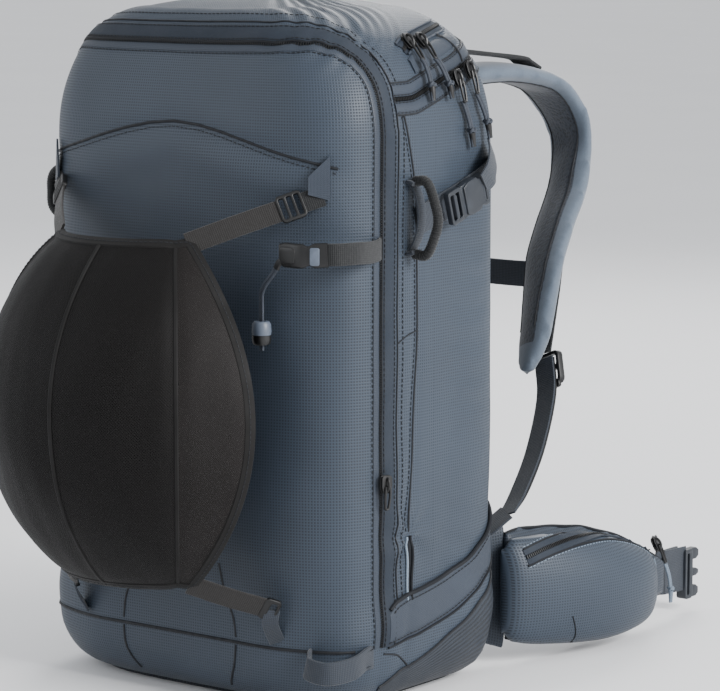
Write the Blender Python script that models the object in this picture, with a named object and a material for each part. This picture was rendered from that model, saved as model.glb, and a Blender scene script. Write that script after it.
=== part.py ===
"""Ski backpack with a domed helmet net, zipped lid, fold-down front panel, harness and hip belt.

Frame: metres, +Z up, +X towards the pack's right-hand side as seen from the net side,
-Y the outer (net) side, +Y the wearer's side. The origin is the middle of the flat base.
"""
import math

import bmesh
import bpy
from mathutils import Vector

# Driving dimensions of the bag
HALF_WIDTH = 0.145
FRONT_DEPTH = 0.106
BACK_DEPTH = 0.090
TOP_Z = 0.482
BOTTOM_Z = 0.003
SHOULDER_Z = 0.395
HEEL_Z = 0.036
SHOULDER_INSET = (0.074, 0.032, 0.040)
HEEL_INSET = (0.026, 0.026, 0.012)
CROWN = 0.008
FRONT_POWER = 4.2
BACK_POWER = 7.0
WALL = 0.003
RING_POINTS = 36
GAP = 0.0004

# Seams between the compartments
DIVIDER_Y = -0.0455
FLAP_Y = -0.056
FLAP_LOW_Z = 0.045
FLAP_HIGH_Z = 0.460
LID_Z = 0.428
LID_SLOPE = 0.28
LID_BEND_Y = -0.022
LID_HINGE = (0.0, DIVIDER_Y, 0.4885)
FLAP_HINGE = (0.0, -0.110, FLAP_LOW_Z)

# Helmet net: a patch of an ellipsoid held by four straps
NET_CENTRE = Vector((0.0, -0.105, 0.212))
NET_RADII = Vector((0.132, 0.142, 0.145))
NET_THICK = 0.0016
NET_HINGE = (0.0, -0.112, 0.072)
NET_ANCHOR_HIGH = (0.106, 0.352)
NET_ANCHOR_LOW = (0.094, 0.074)

# Harness
WEB = 0.0018
PAD_WIDTH = 0.060
PAD_THICK = 0.014
PAD_TWIST = math.radians(35)
STERNUM_Z = 0.272
STERNUM_Y = 0.2318
FIN_HINGE = (0.128, 0.108, 0.05)
KEEPER_HINGE = (0.148, -0.117, 0.322)
LOCK_CENTRE = (0.0955, -0.1275)
STRAP_TOP = Vector((0.052, 0.099, 0.405))

FABRIC = (0.075, 0.098, 0.135)
DARK_FABRIC = (0.030, 0.038, 0.052)
LIGHT_FABRIC = (0.21, 0.26, 0.32)
BLACK = (0.012, 0.012, 0.013)
WEBBING = (0.045, 0.055, 0.070)
NET_GREY = (0.020, 0.017, 0.016)
PLASTIC = (0.055, 0.065, 0.080)
ALLOY = (0.60, 0.61, 0.63)
BOARD = (0.10, 0.10, 0.11)


# ---------------------------------------------------------------- helpers

def material(name, colour, roughness, metallic=0.0):
    mat = bpy.data.materials.new(name)
    mat.use_nodes = True
    shader = mat.node_tree.nodes["Principled BSDF"]
    shader.inputs["Base Color"].default_value = (*colour, 1.0)
    shader.inputs["Roughness"].default_value = roughness
    shader.inputs["Metallic"].default_value = metallic
    return mat


def place(name, mesh, mat, smooth=True):
    obj = bpy.data.objects.new(name, mesh)
    bpy.context.scene.collection.objects.link(obj)
    mesh.materials.append(mat)
    if smooth:
        mesh.shade_smooth()
        mesh.set_sharp_from_angle(angle=math.radians(35))
    return obj


def mesh_from(name, verts, faces):
    mesh = bpy.data.meshes.new(name)
    mesh.from_pydata([tuple(v) for v in verts], [], faces)
    work = bmesh.new()
    work.from_mesh(mesh)
    bmesh.ops.recalc_face_normals(work, faces=work.faces)
    work.to_mesh(mesh)
    work.free()
    return mesh


def loft(name, rings):
    """Joins rings of equal length into one closed mesh with flat ends."""
    count = len(rings[0])
    verts = [p for ring in rings for p in ring]
    faces = []
    for k in range(len(rings) - 1):
        low = k * count
        high = low + count
        for i in range(count):
            j = (i + 1) % count
            faces.append((low + i, low + j, high + j, high + i))
    faces.append(tuple(range(count))[::-1])
    faces.append(tuple(range((len(rings) - 1) * count, len(rings) * count)))
    return mesh_from(name, verts, faces)


def box_mesh(name, low, high):
    x0, y0, z0 = low
    x1, y1, z1 = high
    bottom = [(x0, y0, z0), (x1, y0, z0), (x1, y1, z0), (x0, y1, z0)]
    top = [(x, y, z1) for x, y, z in bottom]
    return loft(name, [bottom, top])


def box(name, low, high, mat):
    return place(name, box_mesh(name, low, high), mat, smooth=False)


def lid_line(y):
    """Height of the lid's seam: level near the hinge, then rising towards the harness."""
    return LID_Z + LID_SLOPE * max(y, LID_BEND_Y)


def cutter(name, mesh):
    obj = bpy.data.objects.new(name, mesh)
    bpy.context.scene.collection.objects.link(obj)
    obj.hide_render = True
    obj.display_type = "WIRE"
    return obj


def cut(obj, tool, operation="DIFFERENCE"):
    step = obj.modifiers.new(tool.name, "BOOLEAN")
    step.object = tool
    step.operation = operation
    step.solver = "EXACT"


def pivot(name, spot):
    empty = bpy.data.objects.new(name, None)
    empty.location = spot
    bpy.context.scene.collection.objects.link(empty)
    return empty


def carry(empty, *objects):
    bpy.context.view_layer.update()
    for obj in objects:
        obj.parent = empty
        obj.matrix_parent_inverse = empty.matrix_world.inverted()


def smooth_path(points, steps=4):
    """Catmull-Rom points through the given ones."""
    pts = [Vector(p) for p in points]
    ends = [2 * pts[0] - pts[1], *pts, 2 * pts[-1] - pts[-2]]
    out = []
    for k in range(1, len(ends) - 2):
        a, b, c, d = ends[k - 1:k + 3]
        for s in range(steps):
            t = s / steps
            out.append(0.5 * (2 * b + (c - a) * t + (2 * a - 5 * b + 4 * c - d) * t * t
                              + (3 * b - a - 3 * c + d) * t * t * t))
    out.append(pts[-1])
    return out


PAD_SHAPE = [(1, 0.45), (0.86, 1), (-0.86, 1), (-1, 0.45), (-1, -0.45), (-0.86, -1), (0.86, -1), (1, -0.45)]
WEB_SHAPE = [(1, 1), (-1, 1), (-1, -1), (1, -1)]


def ribbon(name, path, sides, width, thick, mat, shape=WEB_SHAPE):
    """Sweeps a flat section along a path; sides gives the width direction at each point."""
    last = len(path) - 1
    rings = []
    for k, p in enumerate(path):
        ahead = path[min(k + 1, last)] - path[max(k - 1, 0)]
        side = sides[k] if isinstance(sides, list) else Vector(sides)
        side = (side - ahead * side.dot(ahead) / ahead.length_squared).normalized()
        face = ahead.cross(side).normalized()
        wide = width[k] if isinstance(width, list) else width
        rings.append([p + side * (u * wide / 2) + face * (v * thick / 2) for u, v in shape])
    return place(name, loft(name, rings), mat)


def tube(name, path, radius, mat, count=8):
    """A round bar along a path that keeps its frame from turning."""
    last = len(path) - 1
    side = None
    rings = []
    for k, p in enumerate(path):
        ahead = (path[min(k + 1, last)] - path[max(k - 1, 0)]).normalized()
        if side is None:
            side = ahead.orthogonal().normalized()
        side = (side - ahead * side.dot(ahead)).normalized()
        up = ahead.cross(side)
        turn = [2 * math.pi * i / count for i in range(count)]
        rings.append([p + (side * math.cos(a) + up * math.sin(a)) * radius for a in turn])
    return place(name, loft(name, rings), mat)


def cord_curve(name, points, diameter, mat):
    """A free cord: a POLY spline read from a smooth curve through its own points."""
    path = smooth_path(points, 4)
    curve = bpy.data.curves.new(name, "CURVE")
    curve.dimensions = "3D"
    curve.bevel_depth = diameter / 2
    curve.bevel_resolution = 2
    curve.use_fill_caps = True
    line = curve.splines.new("POLY")
    line.points.add(len(path) - 1)
    for point, p in zip(line.points, path):
        point.co = (*p, 1.0)
    curve.materials.append(mat)
    obj = bpy.data.objects.new(name, curve)
    bpy.context.scene.collection.objects.link(obj)
    return obj


def ring_solid(name, centre, inner, outer, low, high, mat, count=12):
    """A short upright tube with an open bore."""
    verts = []
    for radius, z in ((inner, low), (outer, low), (outer, high), (inner, high)):
        for i in range(count):
            turn = 2 * math.pi * i / count
            verts.append((centre[0] + radius * math.cos(turn), centre[1] + radius * math.sin(turn), z))
    faces = []
    for k in range(4):
        for i in range(count):
            j = (i + 1) % count
            m = (k + 1) % 4
            faces.append((k * count + i, k * count + j, m * count + j, m * count + i))
    return place(name, mesh_from(name, verts, faces), mat)


def plate(name, outline, axis, low, high, mat):
    """Extrudes an outline of (a, b) points along X, Y or Z from low to high."""
    orders = {"X": lambda a, b, c: (c, a, b), "Y": lambda a, b, c: (a, c, b), "Z": lambda a, b, c: (a, b, c)}
    order = orders[axis]
    rings = [[Vector(order(a, b, c)) for a, b in outline] for c in (low, high)]
    return place(name, loft(name, rings), mat)


def mirrored(side, points):
    return [Vector((side * x, y, z)) for x, y, z in points]


# ---------------------------------------------------------------- bag surface

def power_curve(half_x, half_y, power, angle):
    c, s = math.cos(angle), math.sin(angle)
    return (math.copysign(abs(c) ** (2 / power), c) * half_x,
            math.copysign(abs(s) ** (2 / power), s) * half_y)


def reach(z, inset=0.0):
    """Half width, front depth and back depth of the bag at height z."""
    top, bottom = TOP_Z - inset, BOTTOM_Z + inset
    if z > SHOULDER_Z:
        rise = min(1.0, (z - SHOULDER_Z) / (top - SHOULDER_Z))
        pull, shares = 1 - math.sqrt(1 - rise * rise), SHOULDER_INSET
    elif z < HEEL_Z:
        drop = min(1.0, (HEEL_Z - z) / (HEEL_Z - bottom))
        pull, shares = 1 - math.sqrt(1 - drop * drop), HEEL_INSET
    else:
        pull, shares = 0.0, HEEL_INSET
    full = (HALF_WIDTH, FRONT_DEPTH, BACK_DEPTH)
    return [f - inset - s * pull for f, s in zip(full, shares)]


def bag_ring(z, inset=0.0, shrink=1.0, lift=0.0):
    half, front, back = reach(z, inset)
    ring = []
    for i in range(RING_POINTS):
        angle = 2 * math.pi * i / RING_POINTS
        depth, power = (back, BACK_POWER) if math.sin(angle) >= 0 else (front, FRONT_POWER)
        x, y = power_curve(half, depth, power, angle)
        ring.append(Vector((x * shrink, y * shrink, z + lift)))
    return ring


def bag_mesh(name, inset):
    top, bottom = TOP_Z - inset, BOTTOM_Z + inset
    heights = [HEEL_Z - (HEEL_Z - bottom) * math.sin(math.radians(a)) for a in (90, 60, 30)]
    heights += [HEEL_Z, 0.13, 0.22, 0.31, SHOULDER_Z]
    heights += [SHOULDER_Z + (top - SHOULDER_Z) * math.sin(math.radians(a)) for a in (22, 42, 60, 76, 90)]
    rings = [bag_ring(z, inset) for z in heights]
    rings.append(bag_ring(top, inset, 0.62, CROWN * 0.7))
    rings.append(bag_ring(top, inset, 0.25, CROWN))
    return loft(name, rings)


def front_y(x, z, proud=0.0):
    """The outer surface's Y at a point of the front."""
    half, front, _ = reach(z)
    return -front * (1 - min(1.0, abs(x) / half) ** FRONT_POWER) ** (1 / FRONT_POWER) - proud


def side_x(y, z, proud=0.0):
    """The outer surface's X at a point of the right-hand side."""
    half, front, back = reach(z)
    depth, power = (back, BACK_POWER) if y >= 0 else (front, FRONT_POWER)
    return half * (1 - min(1.0, abs(y) / depth) ** power) ** (1 / power) + proud


# ---------------------------------------------------------------- bag pieces

FAR = 0.4


def far_box(name, low, high):
    return cutter(name, box_mesh(name, low, high))


def lid_half(name, above):
    """The space behind the divider, above or below the lid's seam."""
    shift = GAP if above else -GAP
    seam = [(y, lid_line(y) + shift) for y in (DIVIDER_Y + GAP, LID_BEND_Y, FAR)]
    if above:
        profile = seam + [(FAR, 2 * FAR), (DIVIDER_Y + GAP, 2 * FAR)]
    else:
        profile = [(DIVIDER_Y + GAP, -FAR), (FAR, -FAR)] + seam[::-1]
    ends = [[(x, y, z) for y, z in profile] for x in (-FAR, FAR)]
    return cutter(name, loft(name, ends))


def make_bag(mats):
    outer_inner = cutter("bag_hollow", bag_mesh("bag_hollow", WALL))
    main_side = lid_half("main_region", above=False)
    lid_side = lid_half("lid_region", above=True)
    gusset_side = far_box("gusset_region", (-FAR, -FAR, -FAR), (FAR, DIVIDER_Y - GAP, FAR * 2))
    flap_side = far_box("flap_region", (-FAR, -FAR, FLAP_LOW_Z + GAP), (FAR, FLAP_Y - GAP, FLAP_HIGH_Z - GAP))
    flap_room = far_box("flap_room", (-FAR, -FAR, FLAP_LOW_Z), (FAR, FLAP_Y, FLAP_HIGH_Z))

    main_hollow = cutter("main_hollow", bag_mesh("main_hollow", WALL))
    back_region = far_box("main_back", (-FAR, DIVIDER_Y + GAP + WALL, -FAR), (FAR, FAR, FAR * 2))
    cut(main_hollow, back_region, "INTERSECT")
    front_hollow = cutter("front_hollow", bag_mesh("front_hollow", WALL))
    fore_region = far_box("front_fore", (-FAR, -FAR, -FAR), (FAR, DIVIDER_Y - GAP - WALL, FAR * 2))
    cut(front_hollow, fore_region, "INTERSECT")

    shell = place("main_shell", bag_mesh("main_shell", 0), mats["fabric"])
    cut(shell, main_side, "INTERSECT")
    cut(shell, main_hollow)
    gusset = place("front_gusset", bag_mesh("front_gusset", 0), mats["fabric"])
    cut(gusset, gusset_side, "INTERSECT")
    cut(gusset, front_hollow)
    cut(gusset, flap_room)
    lid = place("lid", bag_mesh("lid", 0), mats["fabric"])
    cut(lid, outer_inner)
    cut(lid, lid_side, "INTERSECT")
    panel = place("front_panel", bag_mesh("front_panel", 0), mats["fabric"])
    cut(panel, outer_inner)
    cut(panel, flap_side, "INTERSECT")
    return lid, panel


def make_base(mats):
    rings = []
    for z, shrink in ((0.0, 0.985), (BOTTOM_Z - GAP, 1.0)):
        rings.append([Vector((p.x * shrink, p.y * shrink, z)) for p in bag_ring(BOTTOM_Z)])
    place("base_panel", loft("base_panel", rings), mats["dark"])


def make_inside(mats):
    back = BACK_DEPTH - WALL - 0.001
    box("frame_sheet", (-0.105, back - 0.0050, 0.042), (0.105, back - 0.0035, 0.392), mats["board"])
    arc = [(-0.060, 0.046), (-0.066, 0.200), (-0.066, 0.360), (-0.045, 0.384), (0.0, 0.389)]
    arc += [(-x, z) for x, z in arc[-2::-1]]
    path = smooth_path([Vector((x, back - 0.0088, z)) for x, z in arc], 3)
    tube("frame_stay", path, 0.0030, mats["alloy"])
    sleeve_y = DIVIDER_Y - GAP - WALL - 0.0005
    plate("tool_sleeve", [(-0.09, 0.05), (0.09, 0.05), (0.09, 0.30), (0.06, 0.34), (-0.09, 0.34)],
          "Y", sleeve_y - 0.0015, sleeve_y, mats["light"])


def pad_block(name, low, high, mat, corner=0.014, crown=0.003):
    """A simple upholstered block: a rounded outline that crowns towards +Y."""
    x0, y0, z0 = low
    x1, y1, z1 = high
    centre = Vector(((x0 + x1) / 2, 0, (z0 + z1) / 2))
    half = Vector(((x1 - x0) / 2, 0, (z1 - z0) / 2))
    rings = []
    for y, shrink in ((y0, 0.0), (y1 - crown, 0.0), (y1, corner * 0.5)):
        ring = []
        for i in range(20):
            x, z = power_curve(half.x - shrink, half.z - shrink, 5.0, 2 * math.pi * i / 20)
            ring.append(Vector((centre.x + x, y, centre.z + z)))
        rings.append(ring)
    return place(name, loft(name, rings), mat)


def make_back(mats):
    face = BACK_DEPTH + GAP
    for side, word in ((-1, "left"), (1, "right")):
        low, high = sorted((side * 0.020, side * 0.112))
        pad_block("back_pad_" + word, (low, face, 0.145), (high, face + 0.012, 0.385), mats["dark"])
    pad_block("lumbar_pad", (-0.075, face, 0.022), (0.075, face + 0.016, 0.135), mats["dark"])


# ---------------------------------------------------------------- side straps and loops

def make_side_straps(mats):
    """Compression strap on each side, from the seam by the gear loop up to the harness edge."""
    for side, word in ((-1, "left"), (1, "right")):
        line = [(-0.020, 0.338), (0.020, 0.350), (0.050, 0.360), (0.066, 0.366)]
        path = [Vector((side * side_x(y, z, 0.0032), y, z)) for y, z in line]
        ribbon("compression_strap_" + word, path, (0, -0.3, 1), 0.020, WEB, mats["webbing"])
        low, high = sorted((side * 0.1500, side * 0.1580))
        box("compression_buckle_" + word, (low, 0.004, 0.335), (high, 0.046, 0.366), mats["plastic"])


def make_gear_loops(mats):
    """Stiff tube-covered loops on the seam; the left one stands further out."""
    loops = {}
    for side, word, out in ((-1, "left", 0.046), (1, "right", 0.024)):
        foot = side_x(-0.028, 0.34)
        rings = [(0.0040, 0.366), (0.014, 0.3660), (out - 0.004, 0.355), (out, 0.340),
                 (out - 0.004, 0.326), (0.014, 0.3160), (0.0040, 0.3160)]
        path = smooth_path([Vector((side * (foot + o), -0.028, z)) for o, z in rings], 3)
        loops[word] = tube("gear_loop_" + word, path, 0.0036, mats["black"], 8)
    return loops


# ---------------------------------------------------------------- zips

def make_slider(name, spot, down, out, mats):
    """A zip slider: a wedge body that tapers towards the pull eye."""
    spot, down, out = Vector(spot), Vector(down).normalized(), Vector(out).normalized()
    across = down.cross(out).normalized()
    rings = []
    for along, half, low, high in ((-0.006, 0.0042, 0.0008, 0.0045), (0.001, 0.0046, 0.0008, 0.0058),
                                   (0.006, 0.0032, 0.0008, 0.0050), (0.014, 0.0022, 0.0022, 0.0046)):
        middle = spot + down * along
        rings.append([middle + across * half + out * low, middle - across * half + out * low,
                      middle - across * half + out * high, middle + across * half + out * high])
    return place(name, loft(name, rings), mats["black"])


PULLS = {
    "lid_pull_front": [(0.1456, 0.0318, 0.4176), (0.1472, 0.0330, 0.4124), (0.1489, 0.0348, 0.4044),
                       (0.1498, 0.0368, 0.3954), (0.1502, 0.0385, 0.3854)],
    "lid_pull_back": [(0.1440, 0.0500, 0.4226), (0.1460, 0.0515, 0.4174), (0.1482, 0.0535, 0.4100),
                      (0.1498, 0.0560, 0.4005), (0.1503, 0.0580, 0.3905)],
    "pocket_pull_front": [(0.1372, -0.0045, 0.4480), (0.1405, -0.0048, 0.4440), (0.1440, -0.0052, 0.4370),
                          (0.1466, -0.0056, 0.4290), (0.1482, -0.0060, 0.4195)],
    "pocket_pull_back": [(0.1372, 0.0105, 0.4480), (0.1405, 0.0120, 0.4440), (0.1440, 0.0135, 0.4370),
                         (0.1466, 0.0150, 0.4290), (0.1482, 0.0160, 0.4200)],
}
PULL_WIDTH = 0.0044


# ---------------------------------------------------------------- helmet net

def net_point(across, rise, grow=0.0):
    """A point of the net: across and rise are angles in degrees from the net's middle."""
    a, e = math.radians(across), math.radians(rise)
    r = NET_RADII + Vector((grow, grow, grow))
    flat = math.cos(e)
    return NET_CENTRE + Vector((r.x * math.sin(a) * flat, -r.y * math.cos(a) * flat, r.z * math.sin(e)))


def net_edge(share):
    """Half the net's width in degrees at a height share from -1 (bottom) to 1 (top)."""
    return 64 - 14 * share * share


def make_net(mats):
    columns, rows = 12, 9
    outer, inner = [], []
    for grow, target in ((0.0, outer), (-NET_THICK, inner)):
        for j in range(rows):
            share = -1 + 2 * j / (rows - 1)
            for i in range(columns):
                target.append(net_point(net_edge(share) * (-1 + 2 * i / (columns - 1)), 54 * share, grow))
    size = rows * columns
    faces = []
    for j in range(rows - 1):
        for i in range(columns - 1):
            a = j * columns + i
            quad = (a, a + 1, a + 1 + columns, a + columns)
            faces.append(quad)
            faces.append(tuple(size + q for q in reversed(quad)))
    rim = [i for i in range(columns)]
    rim += [j * columns + columns - 1 for j in range(1, rows)]
    rim += [(rows - 1) * columns + i for i in range(columns - 2, -1, -1)]
    rim += [j * columns for j in range(rows - 2, 0, -1)]
    for k, a in enumerate(rim):
        b = rim[(k + 1) % len(rim)]
        faces.append((a, b, size + b, size + a))
    return place("helmet_net", mesh_from("helmet_net", outer + inner, faces), mats["net"])


def net_corner(side, top):
    share = 1 if top else -1
    return net_point(side * net_edge(share), 54 * share, -NET_THICK / 2)


def make_net_straps(mats):
    pieces = []
    for top, row in ((True, "top"), (False, "bottom")):
        reach_x, anchor_z = NET_ANCHOR_HIGH if top else NET_ANCHOR_LOW
        for side, word in ((-1, "left"), (1, "right")):
            corner = net_corner(side, top)
            anchor = Vector((side * reach_x, front_y(reach_x, anchor_z, 0.010), anchor_z))
            run = (anchor - corner).normalized()
            start = corner + run * 0.006
            end = anchor - run * 0.013
            out = Vector((side * 0.5, -0.8, 0.3 if top else -0.3))
            flat = run.cross(out)
            pieces.append(ribbon(f"net_strap_{row}_{word}", [start, (start + end) / 2, end], flat,
                                 0.015, WEB, mats["net_web"]))
            if not top:
                continue
            hook_path = [anchor - run * 0.012, anchor, anchor + run * 0.006]
            pieces.append(ribbon(f"net_hook_{row}_{word}", hook_path, flat, 0.019, 0.0044, mats["black"]))
    return pieces


# ---------------------------------------------------------------- axe holders

def make_axe_keeper(mats):
    """Upper axe holder: a strap loop standing off the right front corner, with a clip and an elastic cord."""
    z = KEEPER_HINGE[2]
    path = smooth_path([(0.1430, -0.062, z), (0.1520, -0.080, z), (0.1545, -0.098, z + 0.001),
                        (0.1480, -0.116, z + 0.001)], 3)
    loop = ribbon("axe_keeper_strap", path, (0, 0, 1), 0.015, 0.0022, mats["black"])
    path = smooth_path([(0.1455, -0.1185, z + 0.001), (0.130, -0.1275, z), (0.112, -0.1265, z)], 3)
    clip = ribbon("axe_keeper_clip", path, (0, 0, 1), 0.017, 0.0050, mats["black"])
    cord = cord_curve("axe_keeper_cord", KEEPER_CORD, KEEPER_CORD_WIDTH, mats["cord"])
    lock = ring_solid("cord_lock", LOCK_CENTRE, 0.0029, 0.0068, 0.2600, 0.2760, mats["plastic"])
    return loop, clip, cord, lock


KEEPER_CORD = [(0.1085, -0.1275, 0.3125), (0.1060, -0.1285, 0.3080), (0.1000, -0.1290, 0.3010),
               (0.0964, -0.1282, 0.2950), (0.0955, -0.1275, 0.2890), (0.0955, -0.1275, 0.2750),
               (0.0955, -0.1275, 0.2560)]
KEEPER_CORD_WIDTH = 0.0040


def make_axe_loop(mats):
    """Lower axe holder: a flat webbing loop standing off the bottom right of the front."""
    z = 0.040
    path = smooth_path([(0.1150, -0.1000, z), (0.1230, -0.1130, z - 0.002), (0.1380, -0.1100, z - 0.004),
                        (0.1440, -0.0900, z - 0.003), (0.1420, -0.073, z)], 3)
    ribbon("axe_loop", path, (0, 0, 1), 0.016, 0.0022, mats["webbing"])


# ---------------------------------------------------------------- harness

PAD_LINE = [(0.053, 0.108, 0.412), (0.056, 0.150, 0.426), (0.062, 0.193, 0.4295), (0.068, 0.235, 0.420),
            (0.072, 0.260, 0.398), (0.076, 0.268, 0.371), (0.081, 0.2565, 0.340), (0.087, 0.2300, 0.3106),
            (0.093, 0.208, 0.2845), (0.098, 0.195, 0.2567), (0.103, 0.1833, 0.2294), (0.106, 0.170, 0.205)]


LIFTER_LINE = [(0.056, 0.094, 0.447), (0.058, 0.130, 0.446), (0.063, 0.170, 0.442), (0.067, 0.205, 0.440)]
LOWER_LINE = [(0.120, 0.179, 0.186), (0.126, 0.150, 0.154), (0.131, 0.122, 0.126), (0.133, 0.1065, 0.1135)]
ADJUSTER_LINE = [(0.1130, 0.1915, 0.2120), (0.1190, 0.1895, 0.1990), (0.1202, 0.1830, 0.1885)]


def pad_sides(path, side):
    """The pad lies flat on the shoulder and turns round the chest further down."""
    made = []
    for k in range(len(path)):
        share = min(1.0, max(0.0, (k / (len(path) - 1) - 0.25) / 0.35))
        turn = PAD_TWIST * share * share * (3 - 2 * share)
        made.append(Vector((side * math.cos(turn), -math.sin(turn), 0)))
    return made


def make_shoulder(side, word, mats):
    path = smooth_path(mirrored(side, PAD_LINE), 2)
    count = len(path)
    widths = [PAD_WIDTH * (0.62 + 0.38 * min(1.0, k / 6)) * (1 - 0.34 * max(0.0, (k - count + 6) / 5))
              for k in range(count)]
    sides = pad_sides(path, side)
    pad = ribbon("shoulder_pad_" + word, path, sides, widths, PAD_THICK, mats["light"], PAD_SHAPE)
    line = smooth_path(mirrored(side, LIFTER_LINE), 2)
    lifter = ribbon("load_lifter_" + word, line, (1, 0, 0), 0.020, WEB, mats["dark"])
    line = smooth_path(mirrored(side, LOWER_LINE), 2)
    web = ribbon("lower_strap_" + word, line, (side, 0.25, 0), 0.020, 0.0030, mats["webbing"])
    frame = mirrored(side, ADJUSTER_LINE)
    adjuster = ribbon("strap_adjuster_" + word, frame, (side, 0.3, 0), 0.026, 0.0060, mats["plastic"])
    low, high = (0.0094, 0.0750) if side > 0 else (-0.0750, -0.0264)
    half = box("sternum_strap_" + word, (low, STERNUM_Y, STERNUM_Z - 0.010),
               (high, STERNUM_Y + WEB, STERNUM_Z + 0.010), mats["webbing"])
    low, high = (0.0004, 0.0090) if side > 0 else (-0.0260, -0.0004)
    clasp = box("sternum_buckle_" + word, (low, STERNUM_Y - 0.003, STERNUM_Z - 0.0125),
                (high, STERNUM_Y + 0.006, STERNUM_Z + 0.0125), mats["plastic"])
    return [pad, lifter, web, adjuster, half, clasp]


def make_fin(side, word, mats):
    """Hip fin: a padded wing, a pocket on it, webbing and half of the hip buckle."""
    wing_line = [(0.118, 0.109), (0.124, 0.150), (0.130, 0.195),
                 (0.134, 0.240), (0.135, 0.275), (0.134, 0.306)]
    lows = [0.012, 0.006, 0.003, 0.006, 0.013, 0.020]
    tops = [0.105, 0.104, 0.098, 0.084, 0.068, 0.052]
    rings = []
    for (x, y), low, high in zip(wing_line, lows, tops):
        rings.append([Vector((side * (x + dx), y, z)) for dx, z in
                      ((0, low), (0.009, low), (0.011, (low + high) / 2), (0.009, high), (0, high))])
    wing = place("hip_fin_" + word, loft("fin", rings), mats["dark"])
    web = make_hip_web(side, word, mats)
    if side < 0:
        return [wing, *web]
    bulges = [0.012, 0.026, 0.032, 0.026, 0.006]
    rings = []
    for (x, y), low, high, bulge in zip(wing_line, lows, tops, bulges):
        base = x + 0.0118
        low, high = low + 0.001, high - 0.008
        third = (high - low) / 3
        rings.append([Vector((side * (base + dx), y, z)) for dx, z in
                      ((0, low), (bulge * 0.75, low + 0.006), (bulge, low + third),
                       (bulge * 0.96, low + 2 * third), (bulge * 0.5, high - 0.004), (0, high))])
    pocket = place("hip_pocket_" + word, loft("pocket", rings), mats["fabric"])
    slider = make_slider("hip_slider", (0.1585, 0.2630, 0.0680), (0.25, 0.4, -1), (1, 0.2, 0.5), mats)
    pull = cord_curve("hip_pull", HIP_PULL, HIP_PULL_WIDTH, mats["cord"])
    return [wing, *web, pocket, slider, pull]


HIP_PULL = [(0.1655, 0.2690, 0.0535), (0.1672, 0.2705, 0.0470), (0.1680, 0.2720, 0.0400),
            (0.1680, 0.2735, 0.0320), (0.1675, 0.2745, 0.0225)]
HIP_PULL_WIDTH = 0.0036


def make_hip_web(side, word, mats):
    """Folded webbing at the fin's tip with one half of the side-release buckle."""
    strap = mirrored(side, [(0.1385, 0.3075, 0.036), (0.1390, 0.320, 0.036), (0.1387, 0.332, 0.034)])
    web = ribbon("hip_strap_" + word, strap, (0, 0.15, 1), 0.036, 0.0042, mats["webbing"])
    z = 0.030
    outline = [(0.3350, z - 0.020), (0.3500, z - 0.020), (0.3560, z - 0.012),
               (0.3560, z + 0.012), (0.3500, z + 0.020), (0.3350, z + 0.020)]
    low, high = sorted((side * 0.1340, side * 0.1430))
    buckle = plate("hip_buckle_" + word, outline, "X", low, high, mats["plastic"])
    return [web, buckle]


# ---------------------------------------------------------------- the whole pack

def make_haul_handle(mats):
    half = [(0.022, 0.107, 0.449), (0.036, 0.101, 0.436), (0.034, 0.097, 0.418)]
    path = smooth_path([*mirrored(-1, half[::-1]), (0.0, 0.109, 0.452), *half], 3)
    return ribbon("haul_handle", path, (0, 1, 0.2), 0.010, 0.0050, mats["webbing"])


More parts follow.
